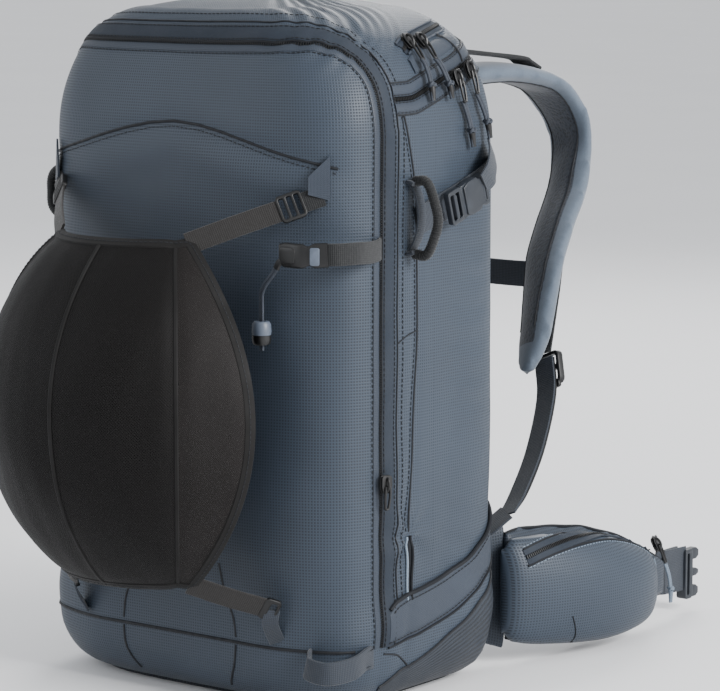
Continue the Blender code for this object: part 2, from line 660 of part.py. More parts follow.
def build():
    for obj in list(bpy.data.objects):
        bpy.data.objects.remove(obj, do_unlink=True)
    mats = {
        "fabric": material("pack_fabric", FABRIC, 0.75),
        "dark": material("dark_fabric", DARK_FABRIC, 0.85),
        "light": material("pad_fabric", LIGHT_FABRIC, 0.9),
        "webbing": material("webbing", WEBBING, 0.7),
        "black": material("black_plastic", BLACK, 0.45),
        "plastic": material("buckle_plastic", PLASTIC, 0.45),
        "net": material("net_mesh", NET_GREY, 0.8),
        "net_web": material("net_webbing", NET_GREY, 0.75),
        "cord": material("cord", WEBBING, 0.7),
        "alloy": material("alloy", ALLOY, 0.35, 1.0),
        "board": material("frame_board", BOARD, 0.5),
    }
    lid, panel = make_bag(mats)
    make_base(mats)
    make_inside(mats)
    make_back(mats)
    make_side_straps(mats)
    loops = make_gear_loops(mats)
    for side, word in ((-1, "left"), (1, "right")):
        carry(pivot("gear_loop_pivot_" + word, (side * side_x(-0.028, 0.34), -0.028, 0.366)), loops[word])
    carry(pivot("haul_pivot", (0, 0.097, 0.418)), make_haul_handle(mats))

    main_sliders = []
    for word, y in (("front", 0.0300), ("back", 0.0480)):
        z = lid_line(y) - 0.0038
        spot = (side_x(y, z, 0.0012), y, z)
        main_sliders.append(make_slider("lid_slider_" + word, spot, (0.28, 0.1, -1), (1, 0, 0.3), mats))
    pocket_sliders = []
    for word, y in (("front", -0.0045), ("back", 0.0105)):
        spot = (side_x(y, 0.4580, 0.0016), y, 0.4580)
        pocket_sliders.append(make_slider("pocket_slider_" + word, spot, (0.9, 0, -1), (1, 0, 0.9), mats))
    pulls = [cord_curve(name, points, PULL_WIDTH, mats["cord"]) for name, points in PULLS.items()]
    spot = (side_x(FLAP_Y, 0.16, 0.0016), FLAP_Y, 0.16)
    front_slider = make_slider("front_slider", spot, (0, 0, -1), (1, -0.25, 0), mats)
    carry(pivot("front_zip_pivot", spot), front_slider)
    carry(pivot("lid_pivot", LID_HINGE), lid, *pocket_sliders, *pulls[2:])
    carry(pivot("main_zip_pivot", (0.13, 0.03, LID_Z)), *main_sliders, *pulls[:2])

    net_parts = [make_net(mats), *make_net_straps(mats)]
    net_pivot = pivot("net_pivot", NET_HINGE)
    carry(net_pivot, *net_parts)
    loop, *clip_parts = make_axe_keeper(mats)
    keeper_pivot = pivot("keeper_pivot", KEEPER_HINGE)
    carry(keeper_pivot, *clip_parts)
    make_axe_loop(mats)
    carry(pivot("panel_pivot", FLAP_HINGE), panel, net_pivot, loop, keeper_pivot)

    for side, word in ((-1, "left"), (1, "right")):
        carry(pivot("shoulder_pivot_" + word, (side * STRAP_TOP.x, STRAP_TOP.y, STRAP_TOP.z)),
              *make_shoulder(side, word, mats))
        carry(pivot("fin_pivot_" + word, (side * FIN_HINGE[0], FIN_HINGE[1], FIN_HINGE[2])),
              *make_fin(side, word, mats))
    bpy.context.view_layer.update()


build()
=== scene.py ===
"""Looks of the ski backpack: fabric, zips, webbing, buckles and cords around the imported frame."""
import math

import bmesh
import bpy
from mathutils import Matrix, Vector, noise
from mathutils.bvhtree import BVHTree


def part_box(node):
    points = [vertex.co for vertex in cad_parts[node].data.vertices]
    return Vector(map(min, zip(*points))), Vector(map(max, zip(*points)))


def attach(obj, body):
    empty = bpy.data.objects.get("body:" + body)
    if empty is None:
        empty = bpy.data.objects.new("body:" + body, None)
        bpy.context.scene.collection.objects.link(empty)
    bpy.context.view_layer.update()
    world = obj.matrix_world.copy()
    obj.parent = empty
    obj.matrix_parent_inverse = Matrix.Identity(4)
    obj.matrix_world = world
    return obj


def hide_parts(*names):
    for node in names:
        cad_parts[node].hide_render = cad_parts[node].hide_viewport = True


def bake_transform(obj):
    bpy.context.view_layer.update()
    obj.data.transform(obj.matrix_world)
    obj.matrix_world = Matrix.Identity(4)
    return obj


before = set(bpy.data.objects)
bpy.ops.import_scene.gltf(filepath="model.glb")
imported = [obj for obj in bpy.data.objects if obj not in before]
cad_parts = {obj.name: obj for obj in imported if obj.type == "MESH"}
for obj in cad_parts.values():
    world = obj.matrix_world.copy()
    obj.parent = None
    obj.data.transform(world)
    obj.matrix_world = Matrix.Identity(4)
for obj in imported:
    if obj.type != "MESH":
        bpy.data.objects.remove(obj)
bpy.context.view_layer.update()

# The bag's shape, as the CAD model has it (metres)
HALF_WIDTH, FRONT_DEPTH, BACK_DEPTH = 0.145, 0.106, 0.09
TOP_Z, BOTTOM_Z, SHOULDER_Z, HEEL_Z = 0.482, 0.003, 0.395, 0.036
SHOULDER_INSET = (0.074, 0.032, 0.04)
HEEL_INSET = (0.026, 0.026, 0.012)
CROWN = 0.008
FRONT_POWER, BACK_POWER = 4.2, 7.0
WALL = 0.0026
DIVIDER_Y, FLAP_Y = -0.0455, -0.056
FLAP_LOW_Z, FLAP_HIGH_Z = 0.045, 0.46
FLAP_ROUND = 0.032
LID_Z, LID_SLOPE, LID_BEND_Y = 0.428, 0.28, -0.022
BACK_CORNER_Y = 0.0775
WEB = 0.0018
SIDES = ((-1, "left"), (1, "right"))
UP, OUT, FRONT = Vector((0, 0, 1)), Vector((1, 0, 0)), Vector((0, -1, 0))
UV = "weave"


# ---------------------------------------------------------------- camera, light and floor

def make_camera():
    """The photograph's view: 38 degrees round to the pack's right, a little above its middle."""
    aim, distance = Vector((0.0495, 0.0387, 0.237)), 2.3
    turn, rise = math.radians(38), math.radians(8)
    away = Vector((math.sin(turn) * math.cos(rise), -math.cos(turn) * math.cos(rise), math.sin(rise)))
    data = bpy.data.cameras.new("camera")
    data.sensor_width = 36.0
    pixels_per_metre, width_in_pixels = 1385, 720
    data.lens = data.sensor_width * pixels_per_metre * distance / width_in_pixels
    camera = bpy.data.objects.new("camera", data)
    camera.location = aim + away * distance
    camera.rotation_euler = (-away).to_track_quat("-Z", "Y").to_euler()
    bpy.context.scene.collection.objects.link(camera)
    bpy.context.scene.camera = camera


def make_light(name, spot, aim, size, power, tint=(1, 1, 1)):
    data = bpy.data.lights.new(name, "AREA")
    data.size = size
    data.energy = power
    data.color = tint
    lamp = bpy.data.objects.new(name, data)
    lamp.location = spot
    lamp.rotation_euler = (Vector(aim) - Vector(spot)).to_track_quat("-Z", "Y").to_euler()
    bpy.context.scene.collection.objects.link(lamp)


def make_studio():
    make_light("key", (2.4, 0.1, 1.3), (0, 0, 0.25), 1.0, 110)
    make_light("fill", (-1.6, -2.4, 1.3), (0, 0, 0.25), 1.8, 22, (0.93, 0.96, 1.0))
    make_light("rim", (-0.8, 1.9, 1.6), (0, 0, 0.3), 1.0, 26)
    world = bpy.data.worlds.new("studio")
    world.use_nodes = True
    world.node_tree.nodes["Background"].inputs["Color"].default_value = (0.95, 0.97, 1.0, 1)
    world.node_tree.nodes["Background"].inputs["Strength"].default_value = 1.05
    bpy.context.scene.world = world


# ---------------------------------------------------------------- procedural materials

class Paint:
    """A procedural material: a Principled shader and the nodes that feed it."""

    def __init__(self, name, **sockets):
        self.mat = bpy.data.materials.new(name)
        self.mat.use_nodes = True
        self.tree = self.mat.node_tree
        self.shader = self.tree.nodes["Principled BSDF"]
        for key, value in sockets.items():
            self.shader.inputs[key.replace("_", " ")].default_value = value

    def feed(self, socket, value):
        if isinstance(value, bpy.types.NodeSocket):
            self.tree.links.new(value, socket)
        else:
            socket.default_value = value

    def node(self, kind, inputs, **settings):
        made = self.tree.nodes.new("ShaderNode" + kind)
        for key, value in settings.items():
            setattr(made, key, value)
        for key, value in inputs.items():
            self.feed(made.inputs[key], value)
        return made

    def math(self, operation, a, b=0.0):
        return self.node("Math", {0: a, 1: b}, operation=operation).outputs[0]

    def times(self, a, b):
        return self.math("MULTIPLY", a, b)

    def blend(self, a, a_share, b, b_share):
        """Adds two values, each by its share."""
        return self.math("ADD", self.times(a, a_share), self.times(b, b_share))

    def crossed(self, pitch, share):
        """The two sets of lines that run across the cloth's diagonals."""
        u, v = self.weave_axes()
        return [self.lines(self.math(operation, v, u), pitch, share) for operation in ("ADD", "SUBTRACT")]

    def tones(self, share, colour, low, high):
        """From a darker to a lighter tone of one colour."""
        return self.mix(share, *[tuple(c * tone for c in colour) for tone in (low, high)])

    def mix(self, share, low, high):
        """Blends two colours, each a linear RGB triple or a socket."""
        low, high = [(*c, 1.0) if isinstance(c, tuple) else c for c in (low, high)]
        return self.node("Mix", {0: share, 6: low, 7: high}, data_type="RGBA").outputs[2]

    def ramp(self, value, start, end, low=0.0, high=1.0):
        inputs = {"Value": value, "From Min": start, "From Max": end, "To Min": low, "To Max": high}
        return self.node("MapRange", inputs, interpolation_type="SMOOTHSTEP").outputs[0]

    def patchy(self, value, low, high):
        """A roughness that wanders between two limits with a noise value."""
        return self.ramp(value, 0.3, 0.7, low, high)

    def weave_axes(self):
        """The cloth's own two directions, in metres."""
        parts = self.node("SeparateXYZ", {0: self.node("UVMap", {}, uv_map=UV).outputs[0]})
        return parts.outputs[0], parts.outputs[1]

    def place(self):
        return self.node("TexCoord", {}).outputs["Object"]

    def noise(self, scale, detail=3.0, vector=None):
        inputs = {"Vector": vector or self.place(), "Scale": scale, "Detail": detail}
        return self.node("TexNoise", inputs).outputs["Fac"]

    def lines(self, axis, pitch, share=0.5):
        """1 on each line across an axis and 0 between them; share is the line's part of the pitch."""
        saw = self.math("PINGPONG", axis, pitch / 2)
        edge = pitch / 2 * (1 - share)
        return self.ramp(saw, edge - pitch * 0.12, edge + pitch * 0.12)

    def finish(self, colour, height=None, rough=None, bump=0.5, distance=0.0004):
        self.feed(self.shader.inputs["Base Color"], colour)
        if rough is not None:
            self.feed(self.shader.inputs["Roughness"], rough)
        if height is not None:
            lump = self.node("Bump", {"Height": height, "Strength": bump, "Distance": distance})
            self.feed(self.shader.inputs["Normal"], lump.outputs[0])
        return self.mat


def ripstop(name, colour, pitch=0.0021, contrast=0.75):
    """Plain weave with a raised grid of thicker threads."""
    paint = Paint(name, Sheen_Weight=0.03, Specular_IOR_Level=0.35)
    u, v = paint.weave_axes()
    threads = paint.math("MAXIMUM", paint.lines(u, pitch, 0.46), paint.lines(v, pitch, 0.5))
    wear = paint.ramp(paint.noise(5, 6), 0.55, 0.8)
    tint = paint.tones(paint.blend(threads, contrast, paint.noise(14, 4), 0.42), colour, 0.5, 1.75)
    tint = paint.mix(paint.times(wear, 0.18), tint, tuple(c * 2.0 for c in colour))
    height = paint.math("ADD", threads, paint.times(paint.noise(900, 2), 0.5))
    return paint.finish(tint, height, paint.ramp(threads, 0, 1, 0.66, 0.46), 0.45, 0.0003)


def twill(name, colour, pitch=0.0011):
    """Dense diagonal weave of bindings, linings and zip covers."""
    paint = Paint(name, Sheen_Weight=0.02, Specular_IOR_Level=0.25)
    cord = paint.lines(paint.math("ADD", *paint.weave_axes()), pitch, 0.5)
    speck = paint.noise(1100, 2)
    tint = paint.tones(paint.blend(cord, 0.45, speck, 0.55), colour, 0.5, 1.6)
    return paint.finish(tint, paint.math("ADD", cord, speck), paint.patchy(paint.noise(40), 0.62, 0.78), 0.4, 0.0002)


def ribbed(name, colour, pitch=0.003):
    """Coated base cloth with raised cross ribs."""
    paint = Paint(name, Specular_IOR_Level=0.4)
    rib = paint.lines(paint.weave_axes()[0], pitch, 0.5)
    return paint.finish(paint.tones(paint.blend(rib, 0.6, paint.noise(60, 4), 0.4), colour, 0.4, 1.7), rib,
                        paint.patchy(paint.noise(30), 0.5, 0.65), 0.6, 0.0005)


def woven(name, colour, pitch=0.0014):
    """Webbing: cross ribs, a lengthwise warp and slightly fuzzy edges."""
    paint = Paint(name, Sheen_Weight=0.15, Specular_IOR_Level=0.3)
    u, v = paint.weave_axes()
    rib, warp = paint.lines(v, pitch, 0.6), paint.lines(u, pitch * 0.9, 0.6)
    fuzz = paint.noise(500, 3)
    tint = paint.tones(paint.blend(paint.times(rib, warp), 0.6, fuzz, 0.5), colour, 0.45, 1.7)
    height = paint.math("ADD", rib, paint.times(warp, 0.6))
    return paint.finish(tint, height, paint.patchy(fuzz, 0.58, 0.75), 0.5, 0.0003)


def knit(name, face, inner):
    """Brushed knit with a dark spacer-mesh panel where the attribute "inner" is above zero."""
    paint = Paint(name, Sheen_Weight=0.3, Specular_IOR_Level=0.25)
    panel = paint.ramp(paint.node("Attribute", {}, attribute_name="inner").outputs["Fac"], -0.02, 0.02)
    cells = paint.node("TexVoronoi", {"Vector": paint.place(), "Scale": 420.0}).outputs["Distance"]
    fuzz = paint.noise(700, 3)
    outside = paint.tones(paint.blend(fuzz, 0.6, paint.noise(18, 4), 0.4), face, 0.6, 1.4)
    inside = paint.tones(paint.ramp(cells, 0.1, 0.6), inner, 0.55, 1.7)
    height = paint.blend(paint.times(cells, panel), 1.2, fuzz, 0.5)
    tint = paint.mix(panel, outside, inside)
    return paint.finish(tint, height, paint.patchy(fuzz, 0.75, 0.92), 0.5, 0.0004)


def moulded(name, colour, rough=0.42):
    """Moulded plastic with a fine spark-eroded grain and rubbed high spots."""
    paint = Paint(name, Specular_IOR_Level=0.45)
    rub = paint.ramp(paint.noise(70, 5), 0.5, 0.75)
    return paint.finish(paint.tones(paint.times(rub, 0.5), colour, 0.8, 1.5), paint.noise(1500, 2),
                        paint.patchy(paint.noise(45, 4), rough - 0.07, rough + 0.1), 0.25, 0.0001)


def braided(name, colour):
    """Cord with crossing strands."""
    paint = Paint(name, Specular_IOR_Level=0.35)
    share = paint.times(paint.math("ADD", *paint.crossed(0.0011, 0.55)), 0.5)
    return paint.finish(paint.tones(share, colour, 0.4, 1.8), share,
                        paint.patchy(paint.noise(300), 0.5, 0.68), 0.5, 0.0003)


def open_mesh(name, colour, hole, pitch=0.0021):
    """Stretch mesh; hole is how open its cells are, from 0 to 1."""
    paint = Paint(name, Sheen_Weight=0.01, Specular_IOR_Level=0.15)
    thread = paint.math("MAXIMUM", *paint.crossed(pitch, 0.52))
    paint.feed(paint.shader.inputs["Alpha"], paint.ramp(thread, 0, 1, 1 - hole, 1.0))
    tint = paint.tones(paint.blend(thread, 0.5, paint.noise(25, 4), 0.4), colour, 0.45, 1.7)
    return paint.finish(tint, thread, paint.ramp(thread, 0, 1, 0.8, 0.55), 0.5, 0.0003)


def brushed(name, colour):
    """Bent alloy rod: fine scratches along it."""
    paint = Paint(name, Metallic=1.0)
    scratch = paint.noise(600, 4)
    tint = paint.tones(scratch, colour, 0.8, 1.1)
    return paint.finish(tint, scratch, paint.patchy(scratch, 0.28, 0.42), 0.2, 0.0001)


# Linear RGB. The view transform lifts dark tones, so these are darker than the cloth looks in the render.
BLUE = (0.0172, 0.0242, 0.035)
SLATE = (0.014, 0.019, 0.028)
INK = (0.0045, 0.0055, 0.008)
PALE = (0.085, 0.108, 0.14)
WEB_GREY = (0.017, 0.022, 0.031)
NET_BROWN = (0.0022, 0.0018, 0.0017)
NET_WEB = (0.008, 0.0068, 0.0064)
BLACK = (0.0028, 0.0028, 0.0032)
GUNMETAL = (0.016, 0.02, 0.027)

FABRIC = ripstop("pack_ripstop", BLUE)
LINING = twill("pack_lining", SLATE)
COVER = twill("zip_cover_twill", (0.015, 0.0205, 0.03))
SATIN = ripstop("satin_fabric", (0.022, 0.03, 0.044), pitch=0.0012, contrast=0.25)
BASE = ribbed("base_ribbed", (0.0105, 0.0145, 0.0215))
BINDING = twill("binding", INK)
WEBBING = woven("webbing_weave", WEB_GREY)
BLACK_WEB = woven("black_webbing", (0.0042, 0.0048, 0.0056))
NET_STRAP = woven("net_webbing_weave", NET_WEB)
PAD = knit("pad_knit", PALE, (0.013, 0.017, 0.025))
DARK_PAD = knit("dark_pad_knit", (0.013, 0.017, 0.024), (0.007, 0.009, 0.013))
BLACK_PLASTIC = moulded("black_acetal", BLACK)
GREY_PLASTIC = moulded("grey_acetal", GUNMETAL)
LIGHT_PLASTIC = moulded("light_acetal", (0.085, 0.105, 0.14), 0.5)
CORD = braided("cord_braid", (0.022, 0.027, 0.037))
PALE_CORD = braided("pale_cord_braid", (0.11, 0.14, 0.18))
MESH = open_mesh("net_stretch_mesh", NET_BROWN, 0.12)
SIDE_MESH = open_mesh("net_side_mesh", NET_WEB, 0.34, 0.0015)
THREAD = braided("thread", INK)
PALE_THREAD = braided("pale_thread", (0.15, 0.19, 0.24))
ROD = brushed("stay_alloy", (0.62, 0.63, 0.65))
BOARD = moulded("frame_board_plastic", (0.03, 0.03, 0.032), 0.55)


# ---------------------------------------------------------------- mesh helpers

def smooth_path(points, steps=6):
    """Catmull-Rom points through the given ones."""
    pts = [Vector(p) for p in points]
    ends = [2 * pts[0] - pts[1], *pts, 2 * pts[-1] - pts[-2]]
    out = []
    for k in range(1, len(ends) - 2):
        a, b, c, d = ends[k - 1:k + 3]
        for s in range(steps):
            t = s / steps
            out.append(0.5 * (2 * b + (c - a) * t + (2 * a - 5 * b + 4 * c - d) * t * t
                              + (3 * b - a - 3 * c + d) * t * t * t))
    out.append(pts[-1])
    return out


def running(points):
    """Distance covered at each point of a path."""
    out = [0.0]
    for a, b in zip(points, points[1:]):
        out.append(out[-1] + (Vector(b) - Vector(a)).length)
    return out


def even(path, step):
    """The same path with a point about every step."""
    marks = running(path)
    count = max(2, round(marks[-1] / step))
    out, k = [], 0
    for i in range(count + 1):
        target = marks[-1] * i / count
        while k < len(marks) - 2 and marks[k + 1] < target:
            k += 1
        share = (target - marks[k]) / max(1e-9, marks[k + 1] - marks[k])
        out.append(Vector(path[k]).lerp(Vector(path[k + 1]), min(1.0, share)))
    return out


def turns(count):
    """The angles of evenly spaced points round a ring."""
    return [2 * math.pi * i / count for i in range(count)]


def eased(value, power):
    """A sine or cosine drawn towards its limits, for rings with squarer corners."""
    return math.copysign(abs(value) ** power, value)


def mirrored(side, points):
    return [Vector((side * p[0], p[1], p[2])) for p in points]


def headings(path):
    last = len(path) - 1
    return [(path[min(k + 1, last)] - path[max(k - 1, 0)]).normalized() for k in range(last + 1)]


def plain_mesh(name, work):
    mesh = bpy.data.meshes.new(name)
    work.to_mesh(mesh)
    work.free()
    mesh.shade_smooth()
    return mesh


def mesh_of(name, work, sharp=40):
    bmesh.ops.recalc_face_normals(work, faces=work.faces)
    mesh = plain_mesh(name, work)
    mesh.set_sharp_from_angle(angle=math.radians(sharp))
    return mesh


def grid(work, rows, wrap=False, ends=False, slot=0):
    """Adds quads between rows of points, with the cloth's UVs in metres."""
    layer = work.loops.layers.uv.get(UV) or work.loops.layers.uv.new(UV)
    count = len(rows[0])
    verts = [[work.verts.new(p) for p in row] for row in rows]
    middle = rows[len(rows) // 2]
    across = running([*middle, middle[0]] if wrap else middle)
    along = running([row[count // 4] for row in rows])
    for j in range(len(rows) - 1):
        for i in range(count if wrap else count - 1):
            k = (i + 1) % count
            face = work.faces.new((verts[j][i], verts[j][k], verts[j + 1][k], verts[j + 1][i]))
            face.material_index = slot
            for loop, (a, b) in zip(face.loops, ((i, j), (i + 1, j), (i + 1, j + 1), (i, j + 1))):
                loop[layer].uv = (across[a], along[b])
    if ends:
        work.faces.new(verts[0][::-1]).material_index = slot
        work.faces.new(verts[-1]).material_index = slot


def piece(name, shape, mats, body=None, replaces=()):
    """Adds a piece to the scene from a mesh or a bmesh. With a body it also parents the piece to the body that it
    rides on and hides the CAD nodes that it stands for."""
    mesh = mesh_of(name, shape) if isinstance(shape, bmesh.types.BMesh) else shape
    obj = bpy.data.objects.new(name, mesh)
    bpy.context.scene.collection.objects.link(obj)
    for mat in mats if isinstance(mats, (list, tuple)) else [mats]:
        mesh.materials.append(mat)
    if body:
        settle(obj, body, replaces)
    return obj


def settle(obj, body, replaces=()):
    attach(obj, body)
    mark_slot(replaces)


def mark_slot(replaces=()):
    """Hides the CAD nodes that the piece stands for."""
    if replaces:
        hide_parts(*replaces)


def bake(obj):
    """Turns an object's modifiers into its mesh."""
    scene_state = bpy.context.evaluated_depsgraph_get()
    mesh = bpy.data.meshes.new_from_object(obj.evaluated_get(scene_state))
    obj.modifiers.clear()
    old, obj.data = obj.data, mesh
    bpy.data.meshes.remove(old)
    mesh.name = obj.name
    return obj


def solidify(obj, thick, offset=-1.0, lining=False):
    step = obj.modifiers.new("thickness", "SOLIDIFY")
    step.thickness = thick
    step.offset = offset
    step.material_offset = 1 if lining else 0
    bake(obj)
    obj.data.set_sharp_from_angle(angle=math.radians(50))
    return obj


def round_section(radius, count=10, squash=1.0):
    return [(math.cos(a) * radius, math.sin(a) * radius * squash) for a in turns(count)]


def web_section(width, thick):
    """A flat strap's section with rounded selvedges."""
    w, t = width / 2, thick / 2
    half = [(w, 0.4 * t), (w - 0.4 * t, 0.9 * t), (w - 1.2 * t, t), (w / 3, t * 0.92), (-w / 3, t * 0.92),
            (-w + 1.2 * t, t), (-w + 0.4 * t, 0.9 * t), (-w, 0.4 * t)]
    return half + [(-x, -y) for x, y in half]


def sweep(work, path, section, face=None, scales=None, slot=0):
    """Sweeps a closed section along a path. face is the direction that the section's +Y looks in,
    one for all points or one for each; without it the section keeps from turning."""
    rows, up = [], None
    for k, (p, ahead) in enumerate(zip(path, headings(path))):
        if face is not None:
            up = face[k] if isinstance(face, list) else Vector(face)
        elif up is None:
            up = ahead.orthogonal()
        up = (up - ahead * up.dot(ahead)).normalized()
        side = ahead.cross(up)
        wide, high = scales[k] if scales else (1.0, 1.0)
        rows.append([p + side * (a * wide) + up * (b * high) for a, b in section])
    grid(work, rows, wrap=True, ends=True, slot=slot)


def bead(work, path, face, radius, count=6, slot=0, scales=None):
    """A round cord, piping or seam along a path."""
    sweep(work, path, round_section(radius, count), face, scales, slot)


def strap(name, points, face, width, thick, mat, body=None, replaces=(), steps=8):
    """A piece of webbing along a smooth path."""
    work = bmesh.new()
    sweep(work, smooth_path(points, steps), web_section(width, thick), face)
    return piece(name, work, mat, body, replaces)


def raised(path, normals, lift):
    return [p + n * lift for p, n in zip(path, normals)]


# A row of blocks: the pitch, and each block's length, width and height
STITCH = (0.0037, (0.0026, 0.0008, 0.0004))
FINE_STITCH = (0.0034, (0.0024, 0.0007, 0.0004))
TOOTH = (0.0017, (0.001, 0.0036, 0.001))
BIG_TOOTH = (0.0017, (0.001, 0.0044, 0.001))


def blocks(work, path, normals, pitch, size, lift=0.0, slot=0):
    """A row of small rounded blocks on a path: stitches or zip teeth."""
    spots = even(path, pitch)
    marks = running(path)
    step = marks[-1] / max(1, len(spots) - 1)
    length, width, height = size
    for i in range(len(spots) - 1):
        centre = (spots[i] + spots[i + 1]) / 2
        ahead = (spots[i + 1] - spots[i]).normalized()
        k = min(len(normals) - 1, int((i + 0.5) * step / marks[-1] * (len(normals) - 1) + 0.5))
        up = (normals[k] - ahead * normals[k].dot(ahead)).normalized()
        side = ahead.cross(up)
        rows = []
        for along, share in ((-0.5, 0.55), (-0.28, 1.0), (0.28, 1.0), (0.5, 0.55)):
            middle = centre + ahead * (along * length) + up * lift
            ring = []
            for a, b in ((1, 0), (0.6, 1), (-0.6, 1), (-1, 0)):
                ring.append(middle + side * (a * width / 2 * share) + up * (b * height * share))
            rows.append(ring)
        grid(work, rows, wrap=True, ends=True, slot=slot)


def plate(loops, thick, bevel=0.0006):
    """A flat moulded plate from a closed outline and any closed holes, in local X and Y."""
    curve = bpy.data.curves.new("plate", "CURVE")
    curve.dimensions = "2D"
    curve.fill_mode = "BOTH"
    curve.extrude = max(0.0, thick / 2 - bevel)
    curve.bevel_depth = bevel
    curve.bevel_resolution = 2
    curve.offset = -bevel
    for loop in loops:
        line = curve.splines.new("POLY")
        line.points.add(len(loop) - 1)
        line.use_cyclic_u = True
        for point, (x, y) in zip(line.points, loop):
            point.co = (x, y, 0, 1)
    obj = bpy.data.objects.new("plate", curve)
    bpy.context.scene.collection.objects.link(obj)
    scene_state = bpy.context.evaluated_depsgraph_get()
    mesh = bpy.data.meshes.new_from_object(obj.evaluated_get(scene_state))
    bpy.data.objects.remove(obj)
    bpy.data.curves.remove(curve)
    return mesh


def rounded(x, y, width, height, radius, count=4):
    """A rectangle with round corners about a middle point."""
    out = []
    for sx, sy, start in ((1, 1, 0), (-1, 1, 90), (-1, -1, 180), (1, -1, 270)):
        for i in range(count + 1):
            a = math.radians(start + 90 * i / count)
            out.append((x + sx * (width / 2 - radius) + radius * math.cos(a),
                        y + sy * (height / 2 - radius) + radius * math.sin(a)))
    return out


def mirror_outline(half):
    """A closed outline from its half above the X axis."""
    return half + [(x, -y) for x, y in half[::-1]]


def facing(spot, along, face):
    """The matrix that lays local X along a direction and local Z towards face, at a spot."""
    x = Vector(along).normalized()
    z = Vector(face)
    z = (z - x * z.dot(x)).normalized()
    y = z.cross(x)
    return Matrix.Translation(spot) @ Matrix((x, y, z)).transposed().to_4x4()


def assemble(name, parts, sharp=40):
    """Joins (mesh, matrix, material slot) parts into one mesh."""
    work = bmesh.new()
    work.loops.layers.uv.new(UV)
    for mesh, matrix, slot in parts:
        start = len(work.faces)
        mesh.transform(matrix)
        work.from_mesh(mesh)
        work.faces.ensure_lookup_table()
        for face in work.faces[start:]:
            face.material_index = slot
        bpy.data.meshes.remove(mesh)
    bmesh.ops.remove_doubles(work, verts=work.verts, dist=1e-6)
    return mesh_of(name, work, sharp)


def lathe(work, profile, centre, count=28, slot=0):
    """Turns a closed (radius, z) profile about an upright axis."""
    rows = []
    for a in turns(count):
        rows.append([Vector((centre[0] + r * math.cos(a), centre[1] + r * math.sin(a), z))
                     for r, z in profile])
    rows.append(rows[0])
    grid(work, rows, wrap=True, slot=slot)
    bmesh.ops.remove_doubles(work, verts=work.verts, dist=1e-6)


def knot(work, spot, along, size, radius, slot=0):
    """An overhand knot: a trefoil tube drawn tight."""
    turn = facing(spot, along, OUT if abs(Vector(along).normalized().x) < 0.8 else UP)
    path = []
    for i in range(37):
        t = 2 * math.pi * i / 36
        local = Vector((-math.sin(3 * t), math.sin(t) + 2 * math.sin(2 * t),
                        math.cos(t) - 2 * math.cos(2 * t)))
        path.append(turn @ (local * (size / 3)))
    bead(work, path, None, radius, 8, slot)


# ---------------------------------------------------------------- the bag's surface

def reach(z):
    """Half width, front depth and back depth of the bag at a height."""
    z = min(TOP_Z - 1e-5, max(BOTTOM_Z + 1e-5, z))
    pull, shares = 0.0, HEEL_INSET
    if z > SHOULDER_Z:
        rise = (z - SHOULDER_Z) / (TOP_Z - SHOULDER_Z)
        pull, shares = 1 - math.sqrt(1 - rise * rise), SHOULDER_INSET
    elif z < HEEL_Z:
        drop = (HEEL_Z - z) / (HEEL_Z - BOTTOM_Z)
        pull = 1 - math.sqrt(1 - drop * drop)
    return [full - share * pull for full, share in zip((HALF_WIDTH, FRONT_DEPTH, BACK_DEPTH), shares)]


def spread(x, y, z):
    """How far to stretch (x, y) so that it lies on the bag at height z."""
    half, front, back = reach(z)
    depth, power = (back, BACK_POWER) if y >= 0 else (front, FRONT_POWER)
    return (abs(x / half) ** power + abs(y / depth) ** power) ** (-1 / power)


def skin_normal(x, y, z):
    half, front, back = reach(z)
    depth, power = (back, BACK_POWER) if y >= 0 else (front, FRONT_POWER)
    flat = Vector((math.copysign(abs(x / half) ** (power - 1) / half, x),
                   math.copysign(abs(y / depth) ** (power - 1) / depth, y), 0)).normalized()
    step = 0.0015
    grow = spread(x, y, min(TOP_Z, z + step)) - spread(x, y, max(BOTTOM_Z, z - step))
    lean = -grow / (2 * step) * (flat.x * x + flat.y * y)
    return (flat + UP * lean).normalized()


def lid_line(y):
    return LID_Z + LID_SLOPE * max(y, LID_BEND_Y)


def fade(value, start, end):
    share = min(1.0, max(0.0, (value - start) / (end - start)))
    return share * share * (3 - 2 * share)


def dent(distance, width):
    return math.exp(-(distance / width) ** 2)


CHEVRON = [(-0.128, 0.377), (-0.1, 0.384), (0.0, 0.405), (0.1, 0.384), (0.128, 0.377)]
SIDE_SEAM = [(-0.036, 0.418), (-0.031, 0.4), (-0.023, 0.366), (-0.019, 0.335), (-0.0185, 0.27),
             (-0.0225, 0.19), (-0.027, 0.122), (-0.029, 0.072), (-0.033, 0.03)]
SLIT = (-0.0275, 0.119, 0.074)


def seam_y(z):
    """Where the side seam is at a height."""
    for (ya, za), (yb, zb) in zip(SIDE_SEAM, SIDE_SEAM[1:]):
        if zb <= z <= za:
            return ya + (yb - ya) * (za - z) / (za - zb)
    return SIDE_SEAM[0][0] if z > SIDE_SEAM[0][1] else SIDE_SEAM[-1][0]


